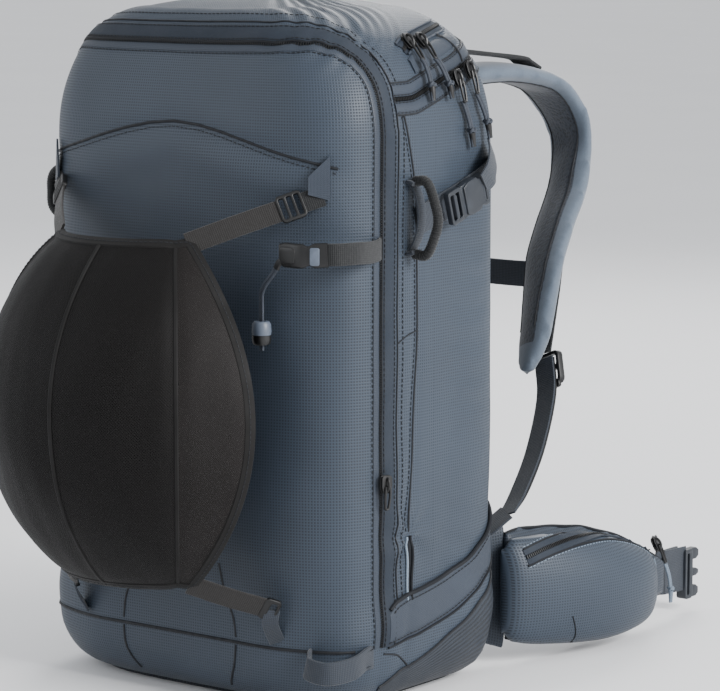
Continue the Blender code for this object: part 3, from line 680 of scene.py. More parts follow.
def relief(x, y, z):
    """How far the cloth stands off the plain shape: soft folds, puckers and the pull of seams."""
    p = Vector((x, y, z))
    height = noise.noise(p * 10) * 0.002 + noise.noise(p * 27 + Vector((3, 1, 7))) * 0.0007
    front = fade(-y, 0.075, 0.1)
    dome = fade(z, 0.05, 0.12) * (1 - fade(z, 0.36, 0.44)) * (1 - fade(abs(x), 0.06, 0.12))
    height += front * 0.003 * dome
    crease = 0.405 - 0.21 * abs(x)
    height -= front * 0.0015 * dent(z - crease, 0.006)
    height += front * 0.0016 * dent(z - crease + 0.018, 0.012)
    height += front * 0.0012 * noise.noise(Vector((x * 22, 2.0, z * 7))) * (1 - fade(z, 0.2, 0.3))
    side = fade(abs(x), 0.11, 0.135)
    height -= side * 0.0012 * dent(y - seam_y(z), 0.005) * (1 - fade(z, 0.4, 0.43))
    height -= side * 0.0012 * dent(y - FLAP_Y, 0.006)
    loose = noise.noise(Vector((x * 4, y * 34, z * 6)))
    loose += 0.6 * noise.noise(Vector((y * 22 + z * 16, z * 9, 4.0)))
    height += side * 0.0016 * loose * fade(y, -0.005, 0.02) * (1 - fade(y, 0.06, 0.08))
    rows = math.sin(z * 260 + noise.noise(p * 18) * 3.5 + y * 60)
    height += side * rows * 0.0005 * fade(y, -0.01, 0.03) * (1 - fade(y, 0.05, 0.07))
    low = dent(z - 0.055, 0.022) * side
    height += low * 0.0022 * (1 + noise.noise(p * 22))
    if z > 0.4:
        top = fade(z, 0.435, 0.455) * fade(x, 0.03, 0.085) * (1 - fade(y, -0.01, 0.02))
        height += top * 0.0009 * math.sin((z * 0.8 - y * 0.75) * 760 + noise.noise(p * 24) * 4)
        height -= 0.0014 * dent(z - lid_line(y), 0.005) * fade(y, DIVIDER_Y, DIVIDER_Y + 0.01)
        height -= 0.0012 * dent(y - DIVIDER_Y, 0.005)
        height -= 0.0012 * dent(z - FLAP_HIGH_Z, 0.005) * front
    if side > 0:
        dy, dz = y - SLIT[0], z - SLIT[1]
        away = math.hypot(dy, dz)
        rays = math.cos(5 * math.atan2(dz, dy) + 0.6)
        height += side * 0.0016 * rays * dent(away - 0.012, 0.016) * fade(away, 0.001, 0.008)
    return height


def skin(x, y, z, proud=0.0):
    """A point of the bag's cloth, out from its axis through (x, y) at height z."""
    z = min(TOP_Z, max(BOTTOM_Z, z))
    share = spread(x, y, z)
    x, y = x * share, y * share
    share = fade(z, BOTTOM_Z, HEEL_Z)
    return Vector((x, y, z)) + skin_normal(x, y, z) * (relief(x, y, z) * share + proud)


def skin_normals(path):
    return [skin_normal(p.x, p.y, p.z) for p in path]


def on_side(side, points, step=0.004):
    """An even path on one side of the bag from (y, z) points."""
    flat = smooth_path([(0, y, z) for y, z in points])
    return even([skin(side * HALF_WIDTH, p.y * HALF_WIDTH / side_x(p.y, p.z), p.z) for p in flat], step)


def side_x(y, z):
    half, front, back = reach(z)
    depth, power = (back, BACK_POWER) if y >= 0 else (front, FRONT_POWER)
    return half * (1 - min(0.999, abs(y) / depth) ** power) ** (1 / power)


def front_y(x, z):
    half, front, _ = reach(z)
    return -front * (1 - min(0.999, abs(x) / half) ** FRONT_POWER) ** (1 / FRONT_POWER)


def side_spot(side, y, z, proud=0.0):
    return skin(side * side_x(y, z), y, z, proud)


def front_spot(x, z, proud=0.0):
    return skin(x, front_y(x, z), z, proud)


def on_front(points, steps=6):
    """A smooth path on the front from (x, z) points."""
    return [front_spot(p.x, p.z) for p in smooth_path([(x, 0, z) for x, z in points], steps)]


def band(work, path, width, thick, shift=0.0, lift=0.0, slot=0, samples=5):
    """A flat strip laid on the bag along a path, shifted sideways across it."""
    rows = []
    for p, ahead in zip(path, headings(path)):
        side = ahead.cross(skin_normal(p.x, p.y, p.z)).normalized()
        top, under = [], []
        for i in range(samples):
            share = -1 + 2 * i / (samples - 1)
            q = p + side * (share * width / 2 + shift)
            edge = 0.35 if abs(share) > 0.99 else 1.0
            top.append(skin(q.x, q.y, q.z, lift + thick * edge))
            under.append(skin(q.x, q.y, q.z, lift - 0.0008))
        rows.append(top + under[::-1])
    grid(work, rows, wrap=True, ends=True, slot=slot)


def stitch(work, line, slot=0):
    blocks(work, line, skin_normals(line), *STITCH, slot=slot)


def seam_bead(work, line, radius, count=6):
    bead(work, line, skin_normals(line), radius, count)


def shifted(path, shift, lift):
    """A line beside a path on the bag."""
    out = []
    for p, ahead in zip(path, headings(path)):
        q = p + ahead.cross(skin_normal(p.x, p.y, p.z)).normalized() * shift
        out.append(skin(q.x, q.y, q.z, lift))
    return out


# ---------------------------------------------------------------- the bag's four shells

AROUND, RISERS = 264, 96


def ring_directions():
    """Evenly spaced directions round the bag at half height, and the cloth's length up to each."""
    dense = []
    for a in turns(4000):
        x, y = math.cos(a), math.sin(a)
        share = spread(x, y, 0.2)
        dense.append(Vector((x * share, y * share, 0)))
    dense.append(dense[0])
    return even(dense, running(dense)[-1] / AROUND)[:AROUND]


def bag_surface():
    """The whole bag as one closed sheet of quads, with its weave laid out in metres."""
    around = ring_directions()
    walls = [HEEL_Z - (HEEL_Z - BOTTOM_Z) * math.cos(math.radians(a)) for a in range(0, 90, 9)]
    walls += [HEEL_Z + (SHOULDER_Z - HEEL_Z) * k / RISERS for k in range(RISERS)]
    walls += [SHOULDER_Z + (TOP_Z - SHOULDER_Z) * math.sin(math.radians(a)) for a in range(0, 91, 3)]
    rows = [(BOTTOM_Z, share, 0.0) for share in (0.02, 0.25, 0.5, 0.75, 0.92)]
    rows += [(z, 1.0, 0.0) for z in walls]
    crown = [0.95, 0.88, 0.78, 0.66, 0.52, 0.38, 0.24, 0.12, 0.02]
    rows += [(TOP_Z, share, CROWN * (1 - share ** 2.2)) for share in crown]
    upright = range(5, len(rows) - len(crown) - 1)
    work = bmesh.new()
    layer = work.loops.layers.uv.new(UV)
    verts = []
    for z, share, lift in rows:
        row = []
        for d in around:
            p = skin(d.x, d.y, z)
            x, y, soft = p.x * share, p.y * share, 0.0
            if z >= HEEL_Z:
                soft = noise.noise(Vector((x, y, 0)) * 16) * 0.0012 * (1 - share)
            row.append(work.verts.new((x, y, p.z + lift + soft)))
        verts.append(row)
    across = running([*around, around[0]])
    along = running([row[0].co for row in verts])
    for j in range(len(rows) - 1):
        for i in range(AROUND):
            k = (i + 1) % AROUND
            corners = ((j, i, i), (j, k, i + 1), (j + 1, k, i + 1), (j + 1, i, i))
            face = work.faces.new([verts[a][b] for a, b, _ in corners])
            for loop, (a, b, c) in zip(face.loops, corners):
                flat = verts[a][b].co
                loop[layer].uv = (across[c], along[a]) if j in upright else (flat.x, flat.y)
    work.faces.new(verts[0][::-1])
    work.faces.new(verts[-1])
    bmesh.ops.recalc_face_normals(work, faces=work.faces)
    return work


def flap_planes():
    """The planes that cut the front panel free: its sides, its ends and its two round upper corners."""
    middle = Vector((0, FLAP_Y - FLAP_ROUND, FLAP_HIGH_Z - FLAP_ROUND))
    planes = [(Vector((0, 0, FLAP_LOW_Z)), -UP)]
    for a in range(0, 91, 15):
        out = Vector((0, math.cos(math.radians(a)), math.sin(math.radians(a))))
        planes.append((middle + out * FLAP_ROUND, out))
    return planes


def region(p):
    if p.y > DIVIDER_Y:
        return "lid" if p.z > lid_line(p.y) else "main_shell"
    inside = all((p - spot).dot(out) < 0 for spot, out in flap_planes())
    return "front_panel" if inside else "front_gusset"


def make_shells():
    whole = bag_surface()
    slope = Vector((0, -LID_SLOPE, 1)).normalized()
    planes = [(Vector((0, DIVIDER_Y, 0)), Vector((0, 1, 0))), (Vector((0, 0, LID_Z)), slope),
              (Vector((0, 0, lid_line(LID_BEND_Y))), UP), *flap_planes()]
    for spot, out in planes:
        parts = whole.verts[:] + whole.edges[:] + whole.faces[:]
        bmesh.ops.bisect_plane(whole, geom=parts, plane_co=spot, plane_no=out, dist=1e-6)
    whole.faces.ensure_lookup_table()
    owner = [region(face.calc_center_median()) for face in whole.faces]
    bodies = {"main_shell": "pack", "front_gusset": "pack", "lid": "lid", "front_panel": "front_panel"}
    for node, body in bodies.items():
        work = whole.copy()
        work.faces.ensure_lookup_table()
        spare = [face for face, name in zip(work.faces, owner) if name != node]
        bmesh.ops.delete(work, geom=spare, context="FACES")
        shell = piece("cloth_" + node, plain_mesh(node, work), [FABRIC, LINING])
        solidify(shell, WALL, lining=True)
        settle(shell, body, [node])
    whole.free()


def make_divider():
    """The cloth wall between the main and front compartments."""
    low, high = 0.01, 0.476
    work = bmesh.new()
    rows = []
    for k in range(40):
        z = low + (high - low) * k / 39
        half = side_x(DIVIDER_Y, z) - 0.004
        row = []
        for i in range(33):
            x = half * (-1 + i / 16)
            row.append(Vector((x, DIVIDER_Y - 0.0006 + noise.noise(Vector((x * 14, 0, z * 14))) * 0.0008, z)))
        rows.append(row)
    grid(work, rows)
    wall = piece("divider_wall", work, LINING)
    solidify(wall, 0.0012, offset=0.0)
    settle(wall, "pack")


# ---------------------------------------------------------------- zips, seams and panels on the bag

def flap_path(side):
    """From the foot of the front zip up one side and over to the middle of the top."""
    cy, cz = FLAP_Y - FLAP_ROUND, FLAP_HIGH_Z - FLAP_ROUND
    marks = [(FLAP_Y, FLAP_LOW_Z + (cz - FLAP_LOW_Z) * k / 40) for k in range(41)]
    corner = [math.radians(a) for a in range(8, 91, 6)]
    marks += [(cy + FLAP_ROUND * math.cos(a), cz + FLAP_ROUND * math.sin(a)) for a in corner]
    path = [side_spot(side, y, z) for y, z in marks]
    last = abs(path[-1].x)
    for k in range(1, 13):
        x = side * last * (1 - k / 12)
        path.append(front_spot(x, FLAP_HIGH_Z))
    return path


def whole_flap_path():
    right, left = flap_path(1), flap_path(-1)
    return even(right[:-1] + left[::-1], 0.005)


def lid_path(side):
    """The lid zip along one side, from the divider to the back corner."""
    marks = [DIVIDER_Y + 0.004 + 0.124 * k / 30 for k in range(31)]
    return [side_spot(side, y, lid_line(y)) for y in marks if y < BACK_CORNER_Y]


def lid_whole_path():
    right, left = lid_path(1), lid_path(-1)
    back = [skin(x, 0.085, lid_line(0.0835)) for x in [0.118 * (1 - k / 12) for k in range(25)]]
    return even(right + back + left[::-1], 0.005)


def make_front_zip():
    path = whole_flap_path()
    normals = skin_normals(path)
    work = bmesh.new()
    band(work, path, 0.0105, 0.001, shift=0.0068, lift=0.0004)
    band(work, path, 0.0052, 0.0007, shift=-0.004, lift=0.0001, slot=1)
    bead(work, shifted(path, 0.0006, 0.0008), normals, 0.0008, 6, 2)
    piece("front_zip_cover", work, [COVER, SATIN, BINDING], "pack")
    work = bmesh.new()
    for shift in (0.0026, 0.0112, 0.0205):
        line = shifted(path, shift, 0.0012 if shift < 0.012 else 0.0002)
        stitch(work, line)
    bead(work, shifted(path, 0.015, 0.0002), normals, 0.0007)
    piece("front_zip_stitches", work, THREAD, "pack")
    work = bmesh.new()
    blocks(work, raised(path, normals, 0.0002), normals, *BIG_TOOTH)
    piece("front_zip_teeth", work, BLACK_PLASTIC, "pack")
    work = bmesh.new()
    line = shifted(path, -0.0078, 0.0004)
    stitch(work, line)
    piece("front_panel_stitches", work, THREAD, "front_panel")


def make_lid_zip():
    path = lid_whole_path()
    normals = skin_normals(path)
    for body, name, shift in (("lid", "lid_zip_flap", 0.0062), ("pack", "lid_zip_tape", -0.0062)):
        work = bmesh.new()
        band(work, path, 0.0088, 0.0009, shift=-shift, lift=0.0003)
        piece(name, work, SATIN, body)
        work = bmesh.new()
        for edge in (0.0026, 0.0096):
            line = shifted(path, -math.copysign(edge, shift), 0.0012)
            stitch(work, line)
        bead(work, shifted(path, -math.copysign(0.011, shift), 0.0004), normals, 0.0007)
        piece(name + "_stitches", work, THREAD, body)
    work = bmesh.new()
    blocks(work, raised(path, normals, 0.0004), normals, *TOOTH)
    piece("lid_zip_teeth", work, BLACK_PLASTIC, "pack")


POCKET_ZIP = [(-0.014, 0.4525), (-0.0045, 0.457), (0.0105, 0.4605), (0.03, 0.465), (0.05, 0.4685)]


def make_lid_pocket():
    """The lid pocket's zip high on the right, and the smooth cheek panel below it."""
    path = on_side(1, POCKET_ZIP)
    normals = skin_normals(path)
    work = bmesh.new()
    band(work, path, 0.0105, 0.0006, shift=0.0, lift=0.0002)
    for shift in (0.0056, -0.0056):
        bead(work, shifted(path, shift, 0.001), normals, 0.0009, 6, 1)
    blocks(work, raised(path, normals, 0.0009), normals, *TOOTH, slot=2)
    piece("lid_pocket_zip", work, [COVER, SATIN, BLACK_PLASTIC], "lid")
    lower = [(y, lid_line(y) + 0.0125) for y in (-0.012, 0.004, 0.022, 0.04, 0.056)]
    upper = [(y, z - 0.006) for y, z in POCKET_ZIP]
    patch("lid_cheek", 1, lower, upper, 0.0014, SATIN, "lid")
    seam = on_side(1, [(0.048, 0.444), (0.047, 0.451), (0.043, 0.458), (0.036, 0.462)], 0.003)
    work = bmesh.new()
    bead(work, shifted(seam, 0, 0.0016), skin_normals(seam), 0.0007)
    piece("lid_cheek_seam", work, THREAD, "lid")


def patch(name, side, lower, upper, thick, mat, body, across=9):
    """A sewn-on panel on one side of the bag between two (y, z) lines."""
    low = smooth_path([(0, y, z) for y, z in lower], 8)
    high = smooth_path([(0, y, z) for y, z in upper], 8)
    low, high = (even(line, running(line)[-1] / 40) for line in (low, high))
    rows = []
    for a, b in zip(low, high):
        row = []
        for i in range(across):
            share = i / (across - 1)
            p = a.lerp(b, share)
            swell = thick * (1 - abs(2 * share - 1) ** 6 * 0.7)
            row.append(side_spot(side, p.y, p.z, swell))
        rows.append(row)
    work = bmesh.new()
    grid(work, rows)
    work.normal_update()
    if sum(f.normal.x for f in work.faces) * side < 0:
        bmesh.ops.reverse_faces(work, faces=work.faces)
    obj = piece(name, plain_mesh(name, work), mat)
    solidify(obj, thick + 0.0006)
    settle(obj, body)


WING_TOP = [(-0.05, 0.071), (-0.039, 0.077), (0.01, 0.085), (0.045, 0.096), (0.071, 0.112), (0.083, 0.126)]
WING_LOW = [(-0.05, 0.044), (-0.046, 0.045), (-0.013, 0.05), (0.022, 0.058), (0.051, 0.07), (0.08, 0.086)]
BASE_LINE = [(-0.052, 0.015), (-0.037, 0.023), (-0.002, 0.034), (0.028, 0.047), (0.057, 0.062), (0.082, 0.08)]


def make_side_seams(side, word):
    seam = on_side(side, SIDE_SEAM[:7])
    normals = skin_normals(seam)
    work = bmesh.new()
    bead(work, raised(seam, normals, 0.0001), normals, 0.0008)
    blocks(work, shifted(seam, 0.003, 0.0002), normals, *STITCH)
    cross = on_side(side, [(seam_y(0.262), 0.262), (-0.03, 0.26), (-0.04, 0.2555)], 0.003)
    seam_bead(work, cross, 0.0006)
    diagonal = on_side(side, [(-0.053, 0.04), (-0.038, 0.036), (-0.022, 0.022)], 0.003)
    seam_bead(work, diagonal, 0.0007)
    base = on_side(side, BASE_LINE, 0.003)
    bead(work, shifted(base, 0, 0.0006), skin_normals(base), 0.001)
    piece("side_seam_" + word, work, THREAD, "pack")


def make_side_wing(side, word):
    """The smooth wing low on one side, with its piping and stitches, and the ribbed patch under it."""
    patch("side_wing_" + word, side, WING_LOW, WING_TOP, 0.0016, SATIN, "pack")
    edge = on_side(side, WING_TOP)
    hem = on_side(side, WING_LOW)
    work = bmesh.new()
    bead(work, shifted(edge, 0, 0.0018), skin_normals(edge), 0.0015, 8)
    bead(work, shifted(hem, 0, 0.001), skin_normals(hem), 0.0009, 8)
    for line, shift in ((edge, 0.0042), (hem, -0.0034)):
        stitch(work, shifted(line, side * shift, 0.002), 1)
    piece("wing_piping_" + word, work, [BINDING, THREAD], "pack")
    floor_line = [(y, 0.0055) for y, _ in BASE_LINE]
    patch("base_side_" + word, side, floor_line, BASE_LINE, 0.0008, BASE, "pack", across=12)


def make_slit_pocket(side, word):
    y, high, low = SLIT
    work = bmesh.new()
    slot = on_side(side, [(y, high), (y + 0.0006, (high + low) / 2), (y, low)], 0.002)
    normals = skin_normals(slot)
    band(work, slot, 0.003, 0.0004, lift=0.0002)
    for shift, tint, size in ((0.002 * side, 1, 0.0009), (-0.0022 * side, 0, 0.001)):
        bead(work, shifted(slot, shift, 0.0008), normals, size, 8, tint)
    piece("slit_pocket_" + word, work, [BINDING, PALE_THREAD], "pack")


def make_front_details():
    chevron = even(on_front(CHEVRON, steps=5), 0.004)
    normals = skin_normals(chevron)
    work = bmesh.new()
    bead(work, raised(chevron, normals, 0.0002), normals, 0.001, 8)
    row = shifted(chevron, 0.0036, 0.0003)
    blocks(work, row, skin_normals(row), 0.0037, (0.0024, 0.0007, 0.0003))
    for side in (-1, 1):
        low = [(side * 0.052, 0.0485), (side * 0.05, 0.062), (side * 0.044, 0.078), (side * 0.04, 0.1)]
        dart = even(on_front(low), 0.004)
        seam_bead(work, dart, 0.0008)
    piece("front_seams", work, THREAD, "front_panel")
    work = bmesh.new()
    for side in (-1, 1):
        path = even(on_front([(side * 0.052, 0.043), (side * 0.05, 0.028), (side * 0.042, 0.012)]), 0.003)
        seam_bead(work, path, 0.0009)
    hem = even(on_front([(-0.135, FLAP_LOW_Z), (-0.09, FLAP_LOW_Z), (0, FLAP_LOW_Z), (0.09, FLAP_LOW_Z),
                         (0.135, FLAP_LOW_Z)]), 0.004)
    seam_bead(work, hem, 0.0012, 8)
    piece("front_foot_seams", work, THREAD, "pack")


def make_base():
    """The base plate: a ribbed coated sheet with a bound edge."""
    around = ring_directions()
    work = bmesh.new()
    rows = []
    for z, share in ((0.0026, 0.05), (0.0026, 0.97), (0.0022, 0.99), (0.0013, 0.996), (0.0004, 0.985),
                     (0.0, 0.965), (0.0, 0.5), (0.0, 0.05)):
        ring = [skin(d.x, d.y, BOTTOM_Z + 0.0001) for d in around[::2]]
        rows.append([Vector((p.x * share, p.y * share, z)) for p in ring])
    grid(work, rows, wrap=True, ends=True)
    layer = work.loops.layers.uv.active
    for face in work.faces:
        for loop in face.loops:
            loop[layer].uv = loop.vert.co.xy
    piece("base_plate", work, BASE, "pack", ["base_panel"])


# ---------------------------------------------------------------- helmet net

NET_CENTRE = Vector((0.0, -0.105, 0.212))
NET_RADII = Vector((0.132, 0.142, 0.145))
NET_RISE = 54
NET_SEAMS = (-43, 5, 43)
NET_ANCHOR_HIGH, NET_ANCHOR_LOW = (0.106, 0.352), (0.094, 0.074)


def net_point(across, rise, grow=0.0):
    a, e = math.radians(across), math.radians(rise)
    r = NET_RADII + Vector((grow, grow, grow))
    flat = math.cos(e)
    return NET_CENTRE + Vector((r.x * math.sin(a) * flat, -r.y * math.cos(a) * flat, r.z * math.sin(e)))


def net_edge(share):
    return 64 - 14 * share * share


def net_skin(across, rise, grow=0.0):
    """A point of the stretched mesh, drawn in a little along its seams."""
    share = rise / NET_RISE
    tuck = sum(dent(across - seam, 2.2) for seam in NET_SEAMS[::2]) * 0.0016
    p = net_point(across, rise)
    fold = noise.noise(p * 16) * 0.0022 + noise.noise(Vector((p.x * 60, 0, p.z * 12))) * 0.0008
    hem = fade(1 - abs(share), 0, 0.08) * fade(net_edge(share) - abs(across), 0, 5)
    return net_point(across, rise, grow - tuck + fold * hem - 0.0008)


def make_net():
    rows = []
    for j in range(65):
        share = -1 + j / 32
        rows.append([net_skin(net_edge(share) * (-1 + i / 36), NET_RISE * share) for i in range(73)])
    work = bmesh.new()
    grid(work, rows)
    net = piece("net_cloth", work, [MESH, SIDE_MESH])
    for poly in net.data.polygons:
        away = poly.center - NET_CENTRE
        across = math.degrees(math.atan2(away.x / NET_RADII.x, -away.y / NET_RADII.y))
        poly.material_index = int(abs(across) > NET_SEAMS[-1])
    solidify(net, 0.0008, offset=0.0)
    settle(net, "helmet_net", ["helmet_net"])
    bind_net()


def bind_net():
    """The bound edge of the net with its stitches, and the tapes over its seams."""
    rim = [net_skin(net_edge(s) * t, NET_RISE * s) for s, t in
           [(-1, -1 + i / 20) for i in range(41)] + [(-1 + j / 20, 1) for j in range(1, 41)]
           + [(1, 1 - i / 20) for i in range(1, 41)] + [(1 - j / 20, -1) for j in range(1, 40)]]
    rim.append(rim[0])
    rim = even(rim, 0.004)
    outs = [(p - NET_CENTRE).normalized() for p in rim]
    work = bmesh.new()
    binding = [(0.0042, 0.0), (0.0034, 0.0011), (0.0, 0.0013), (-0.0034, 0.0011), (-0.0042, 0.0),
               (-0.0034, -0.0011), (0.0, -0.0013), (0.0034, -0.0011)]
    tape = [(0.0016, 0), (0.0008, 0.0007), (-0.0008, 0.0007), (-0.0016, 0), (0, -0.0005)]
    sweep(work, rim, binding, outs)
    blocks(work, raised(rim, outs, 0.0013), outs, 0.0034, (0.0024, 0.0008, 0.0004), slot=1)
    for seam in NET_SEAMS:
        line = [net_skin(seam, NET_RISE * (-1 + k / 20), 0.0006) for k in range(41)]
        faces = [(p - NET_CENTRE).normalized() for p in line]
        sweep(work, line, tape, faces)
    return piece("net_binding", work, [twill("net_binding_twill", NET_BROWN), THREAD], "helmet_net")


def ladder_lock(length, width, thick, bars=2):
    """A strap adjuster: a frame with cross bars between its slots."""
    rim = width * 0.1
    gap = (length - rim * (bars + 1)) / bars
    loops = [rounded(0, 0, length, width, min(length, width) * 0.16)]
    for k in range(bars):
        x = -length / 2 + rim + gap / 2 + k * (gap + rim)
        loops.append(rounded(x, 0, gap, width - 2.4 * rim, gap * 0.25, 2))
    return plate(loops, thick, min(0.0007, thick * 0.3))


def net_corner(side, top):
    share = 1 if top else -1
    return net_point(side * net_edge(share), NET_RISE * share, -0.0008)


def make_net_straps():
    for top, row in ((True, "top"), (False, "bottom")):
        x, z = NET_ANCHOR_HIGH if top else NET_ANCHOR_LOW
        for side, word in SIDES:
            corner = net_corner(side, top)
            anchor = Vector((side * x, front_y(x, z) - 0.01, z))
            run = (anchor - corner).normalized()
            face = run.cross(run.cross(Vector((side * 0.5, -0.8, 0.3 if top else -0.3)))) * -1
            start, end = corner - run * 0.002, anchor - run * 0.009
            middle = (start + end) / 2 + face.normalized() * 0.0012
            name = f"net_strap_{row}_{word}"
            strap("web_" + name, [start, middle, end], face, 0.015, WEB, NET_STRAP,
                  "helmet_net", [name])
            if top:
                root = anchor + run * 0.022
                root = front_spot(root.x, root.z, 0.0008)
                lock = ladder_lock(0.018, 0.019, 0.004, 3)
                piece("ladder_lock_" + word, assemble("ladder", [(lock, facing(anchor, run, face), 0)]),
                      BLACK_PLASTIC, "helmet_net", [f"net_hook_{row}_{word}"])
                tip = anchor + run * 0.007
                strap("net_anchor_top_" + word, [root, root.lerp(tip, 0.5), tip],
                      face, 0.014, 0.0014, BLACK_WEB, "front_panel", steps=6)
            else:
                spot = anchor - run * 0.0045
                outlines = [rounded(0, 0, 0.012, 0.017, 0.003), rounded(0.0015, 0, 0.005, 0.011, 0.0018, 2)]
                hook = plate(outlines, 0.0028)
                piece("net_hook_low_" + word, assemble("hook", [(hook, facing(spot, run, face), 0)]),
                      BLACK_PLASTIC, "helmet_net")
                foot = front_spot(side * 0.088, 0.05, 0.0006)
                line = [foot, foot.lerp(spot, 0.55) + FRONT * 0.003, spot + run * 0.0015]
                strap("net_anchor_low_" + word, line, face, 0.011, 0.0014, WEBBING, "front_panel",
                      steps=6)


def make_corner_tabs():
    """The folded triangular tabs sewn in at the zip, which the net's upper straps hang from."""
    for side, word in SIDES:
        root = [front_spot(side * 0.124, z, 0.0007) for z in (0.386, 0.356)]
        tip = front_spot(side * 0.112, 0.366, 0.0022)
        rows = []
        for k in range(9):
            share = k / 8
            high, low = root[0].lerp(tip + UP * 0.006, share), root[1].lerp(tip - UP * 0.006, share)
            lift = skin_normal(high.x, high.y, high.z) * 0.0006
            rows.append([high.lerp(low, i / 6) + lift for i in range(7)])
        work = bmesh.new()
        grid(work, rows)
        tab = piece("net_tab_" + word, work, SATIN)
        solidify(tab, 0.0014, offset=1.0)
        settle(tab, "front_panel")


# ---------------------------------------------------------------- side straps, loops and axe holders

LOOP_REACH = {"left": 0.046, "right": 0.024}
LOOP_WEB_SHARE = {"left": 0.55, "right": 1.0}    # how far the webbing inside each loop stands off the bag


def make_gear_loops():
    for side, word in SIDES:
        out = LOOP_REACH[word]
        foot = side_x(-0.028, 0.34)
        rings = [(0.004, 0.366), (0.014, 0.366), (out - 0.004, 0.355), (out, 0.34), (out - 0.004, 0.326),
                 (0.014, 0.316), (0.004, 0.316)]
        path = even(smooth_path([(side * (foot + o), -0.028, z) for o, z in rings], 12), 0.0005)
        ribs = [0.93 + 0.09 * math.cos(2 * math.pi * k * 0.0005 / 0.0017) for k in range(len(path))]
        work = bmesh.new()
        bead(work, path, None, 0.0036, 14, scales=[(r, r) for r in ribs])
        body = "gear_loop_" + word
        piece("ribbed_loop_" + word, mesh_of("ribbed_loop", work, 80), BLACK_WEB, body, [body])
        work = bmesh.new()
        flat = LOOP_WEB_SHARE[word]
        inner = [(side * (foot + o * flat), -0.026, z) for o, z in
                 ((0.001, 0.365), (0.006, 0.356), (0.0085, 0.342), (0.006, 0.328), (0.001, 0.319))]
        sweep(work, smooth_path(inner, 6), web_section(0.009, 0.0016), (side, 0, 0))
        for z, turn in ((0.3655, -1), (0.3165, 1)):
            marks = ((0.001, 0), (0.004, 0.0002), (0.0064, 0.0012))
            tab = [(side * (foot + o), -0.028, z + turn * d) for o, d in marks]
            sweep(work, smooth_path(tab, 4), web_section(0.012, 0.003), (0, 0, 1))
        piece("loop_webbing_" + word, work, WEBBING, "pack")


def side_release(length, width, thick):
    """The three plates of a side-release buckle: the female half, the male half and its strap bar."""
    half = width / 2
    body = [(-0.11, 0.8), (0.02, 0.98), (0.24, 0.98), (0.29, 0.8), (0.38, 0.92), (0.48, 0.92), (0.5, 0.8)]
    outline = mirror_outline([(x * length, y * half) for x, y in body])
    female = plate([outline, rounded(0.4 * length, 0, 0.075 * length, width * 0.66, 0.001, 2)], thick)
    prongs = [(-0.16, 0.95), (-0.06, 0.95), (0.0, 0.99), (0.1, 0.9), (0.1, 0.72), (-0.06, 0.66)]
    tongue = plate([mirror_outline([(x * length, y * half) for x, y in prongs])], thick * 0.62)
    ring = plate([rounded(-0.325 * length, 0, 0.35 * length, width * 0.98, 0.0024),
                  rounded(-0.405 * length, 0, 0.09 * length, width * 0.74, 0.0008, 2),
                  rounded(-0.265 * length, 0, 0.1 * length, width * 0.74, 0.0008, 2)], thick * 0.62)
    return female, tongue, ring


def make_compression():
    along = Vector((0, 0.954, 0.2999))
    for side, word in SIDES:
        line = [(-0.02, 0.338), (0.02, 0.35), (0.05, 0.36), (0.066, 0.366), (0.08, 0.3705)]
        path = [Vector((side * (side_x(y, z) + 0.0032), y, z)) for y, z in line]
        path[0].x = side * (side_x(-0.02, 0.338) + 0.0012)
        strap("side_webbing_" + word, path, (side, 0, 0), 0.02, WEB, WEBBING, "pack",
              ["compression_strap_" + word])
        spot = Vector((side * 0.154, 0.025, 0.3505))
        female, tongue, ring = side_release(0.044, 0.0245, 0.007)
        place = facing(spot, along, (side, 0, 0))
        wrap = plate([rounded(-0.0148, 0, 0.0034, 0.017, 0.0012, 2)], 0.005)
        grip = plate([rounded(0.0172, 0, 0.0036, 0.017, 0.0012, 2)], 0.006)
        clasp = assemble("clasp", [(female, place, 0), (tongue, place, 0), (ring, place, 0),
                                   (wrap, place, 1), (grip, place, 1)])
        piece("side_buckle_" + word, clasp, [GREY_PLASTIC, WEBBING], "compression_buckle_" + word,
              ["compression_buckle_" + word])
        tail = [(0.158, 0.04, 0.36), (0.158, 0.048, 0.368), (0.154, 0.056, 0.3765),
                (0.1475, 0.063, 0.3835)]
        strap("side_tail_" + word, mirrored(side, tail), (side, 0.35, 0.1), 0.0185, 0.0014, WEBBING,
              "compression_buckle_" + word)


KEEPER_CORD = [(0.1085, -0.1275, 0.3125), (0.106, -0.1285, 0.308), (0.1, -0.129, 0.301),
               (0.0964, -0.1282, 0.295), (0.0955, -0.1275, 0.289), (0.0955, -0.1275, 0.275),
               (0.0955, -0.1275, 0.256)]
KEEPER_WIDTH = 0.004
LOCK_CENTRE = (0.0955, -0.1275)


KEEPER_Z = 0.322


def make_keeper_strap():
    z = KEEPER_Z
    loop = [(0.141, -0.057, z), (0.1465, -0.064, z), (0.152, -0.08, z), (0.1545, -0.098, z + 0.001),
            (0.1495, -0.113, z + 0.001), (0.14, -0.1205, z + 0.001)]
    strap("keeper_webbing", loop, (1, -0.3, 0), 0.015, 0.0022, BLACK_WEB, "front_panel",
          ["axe_keeper_strap"])


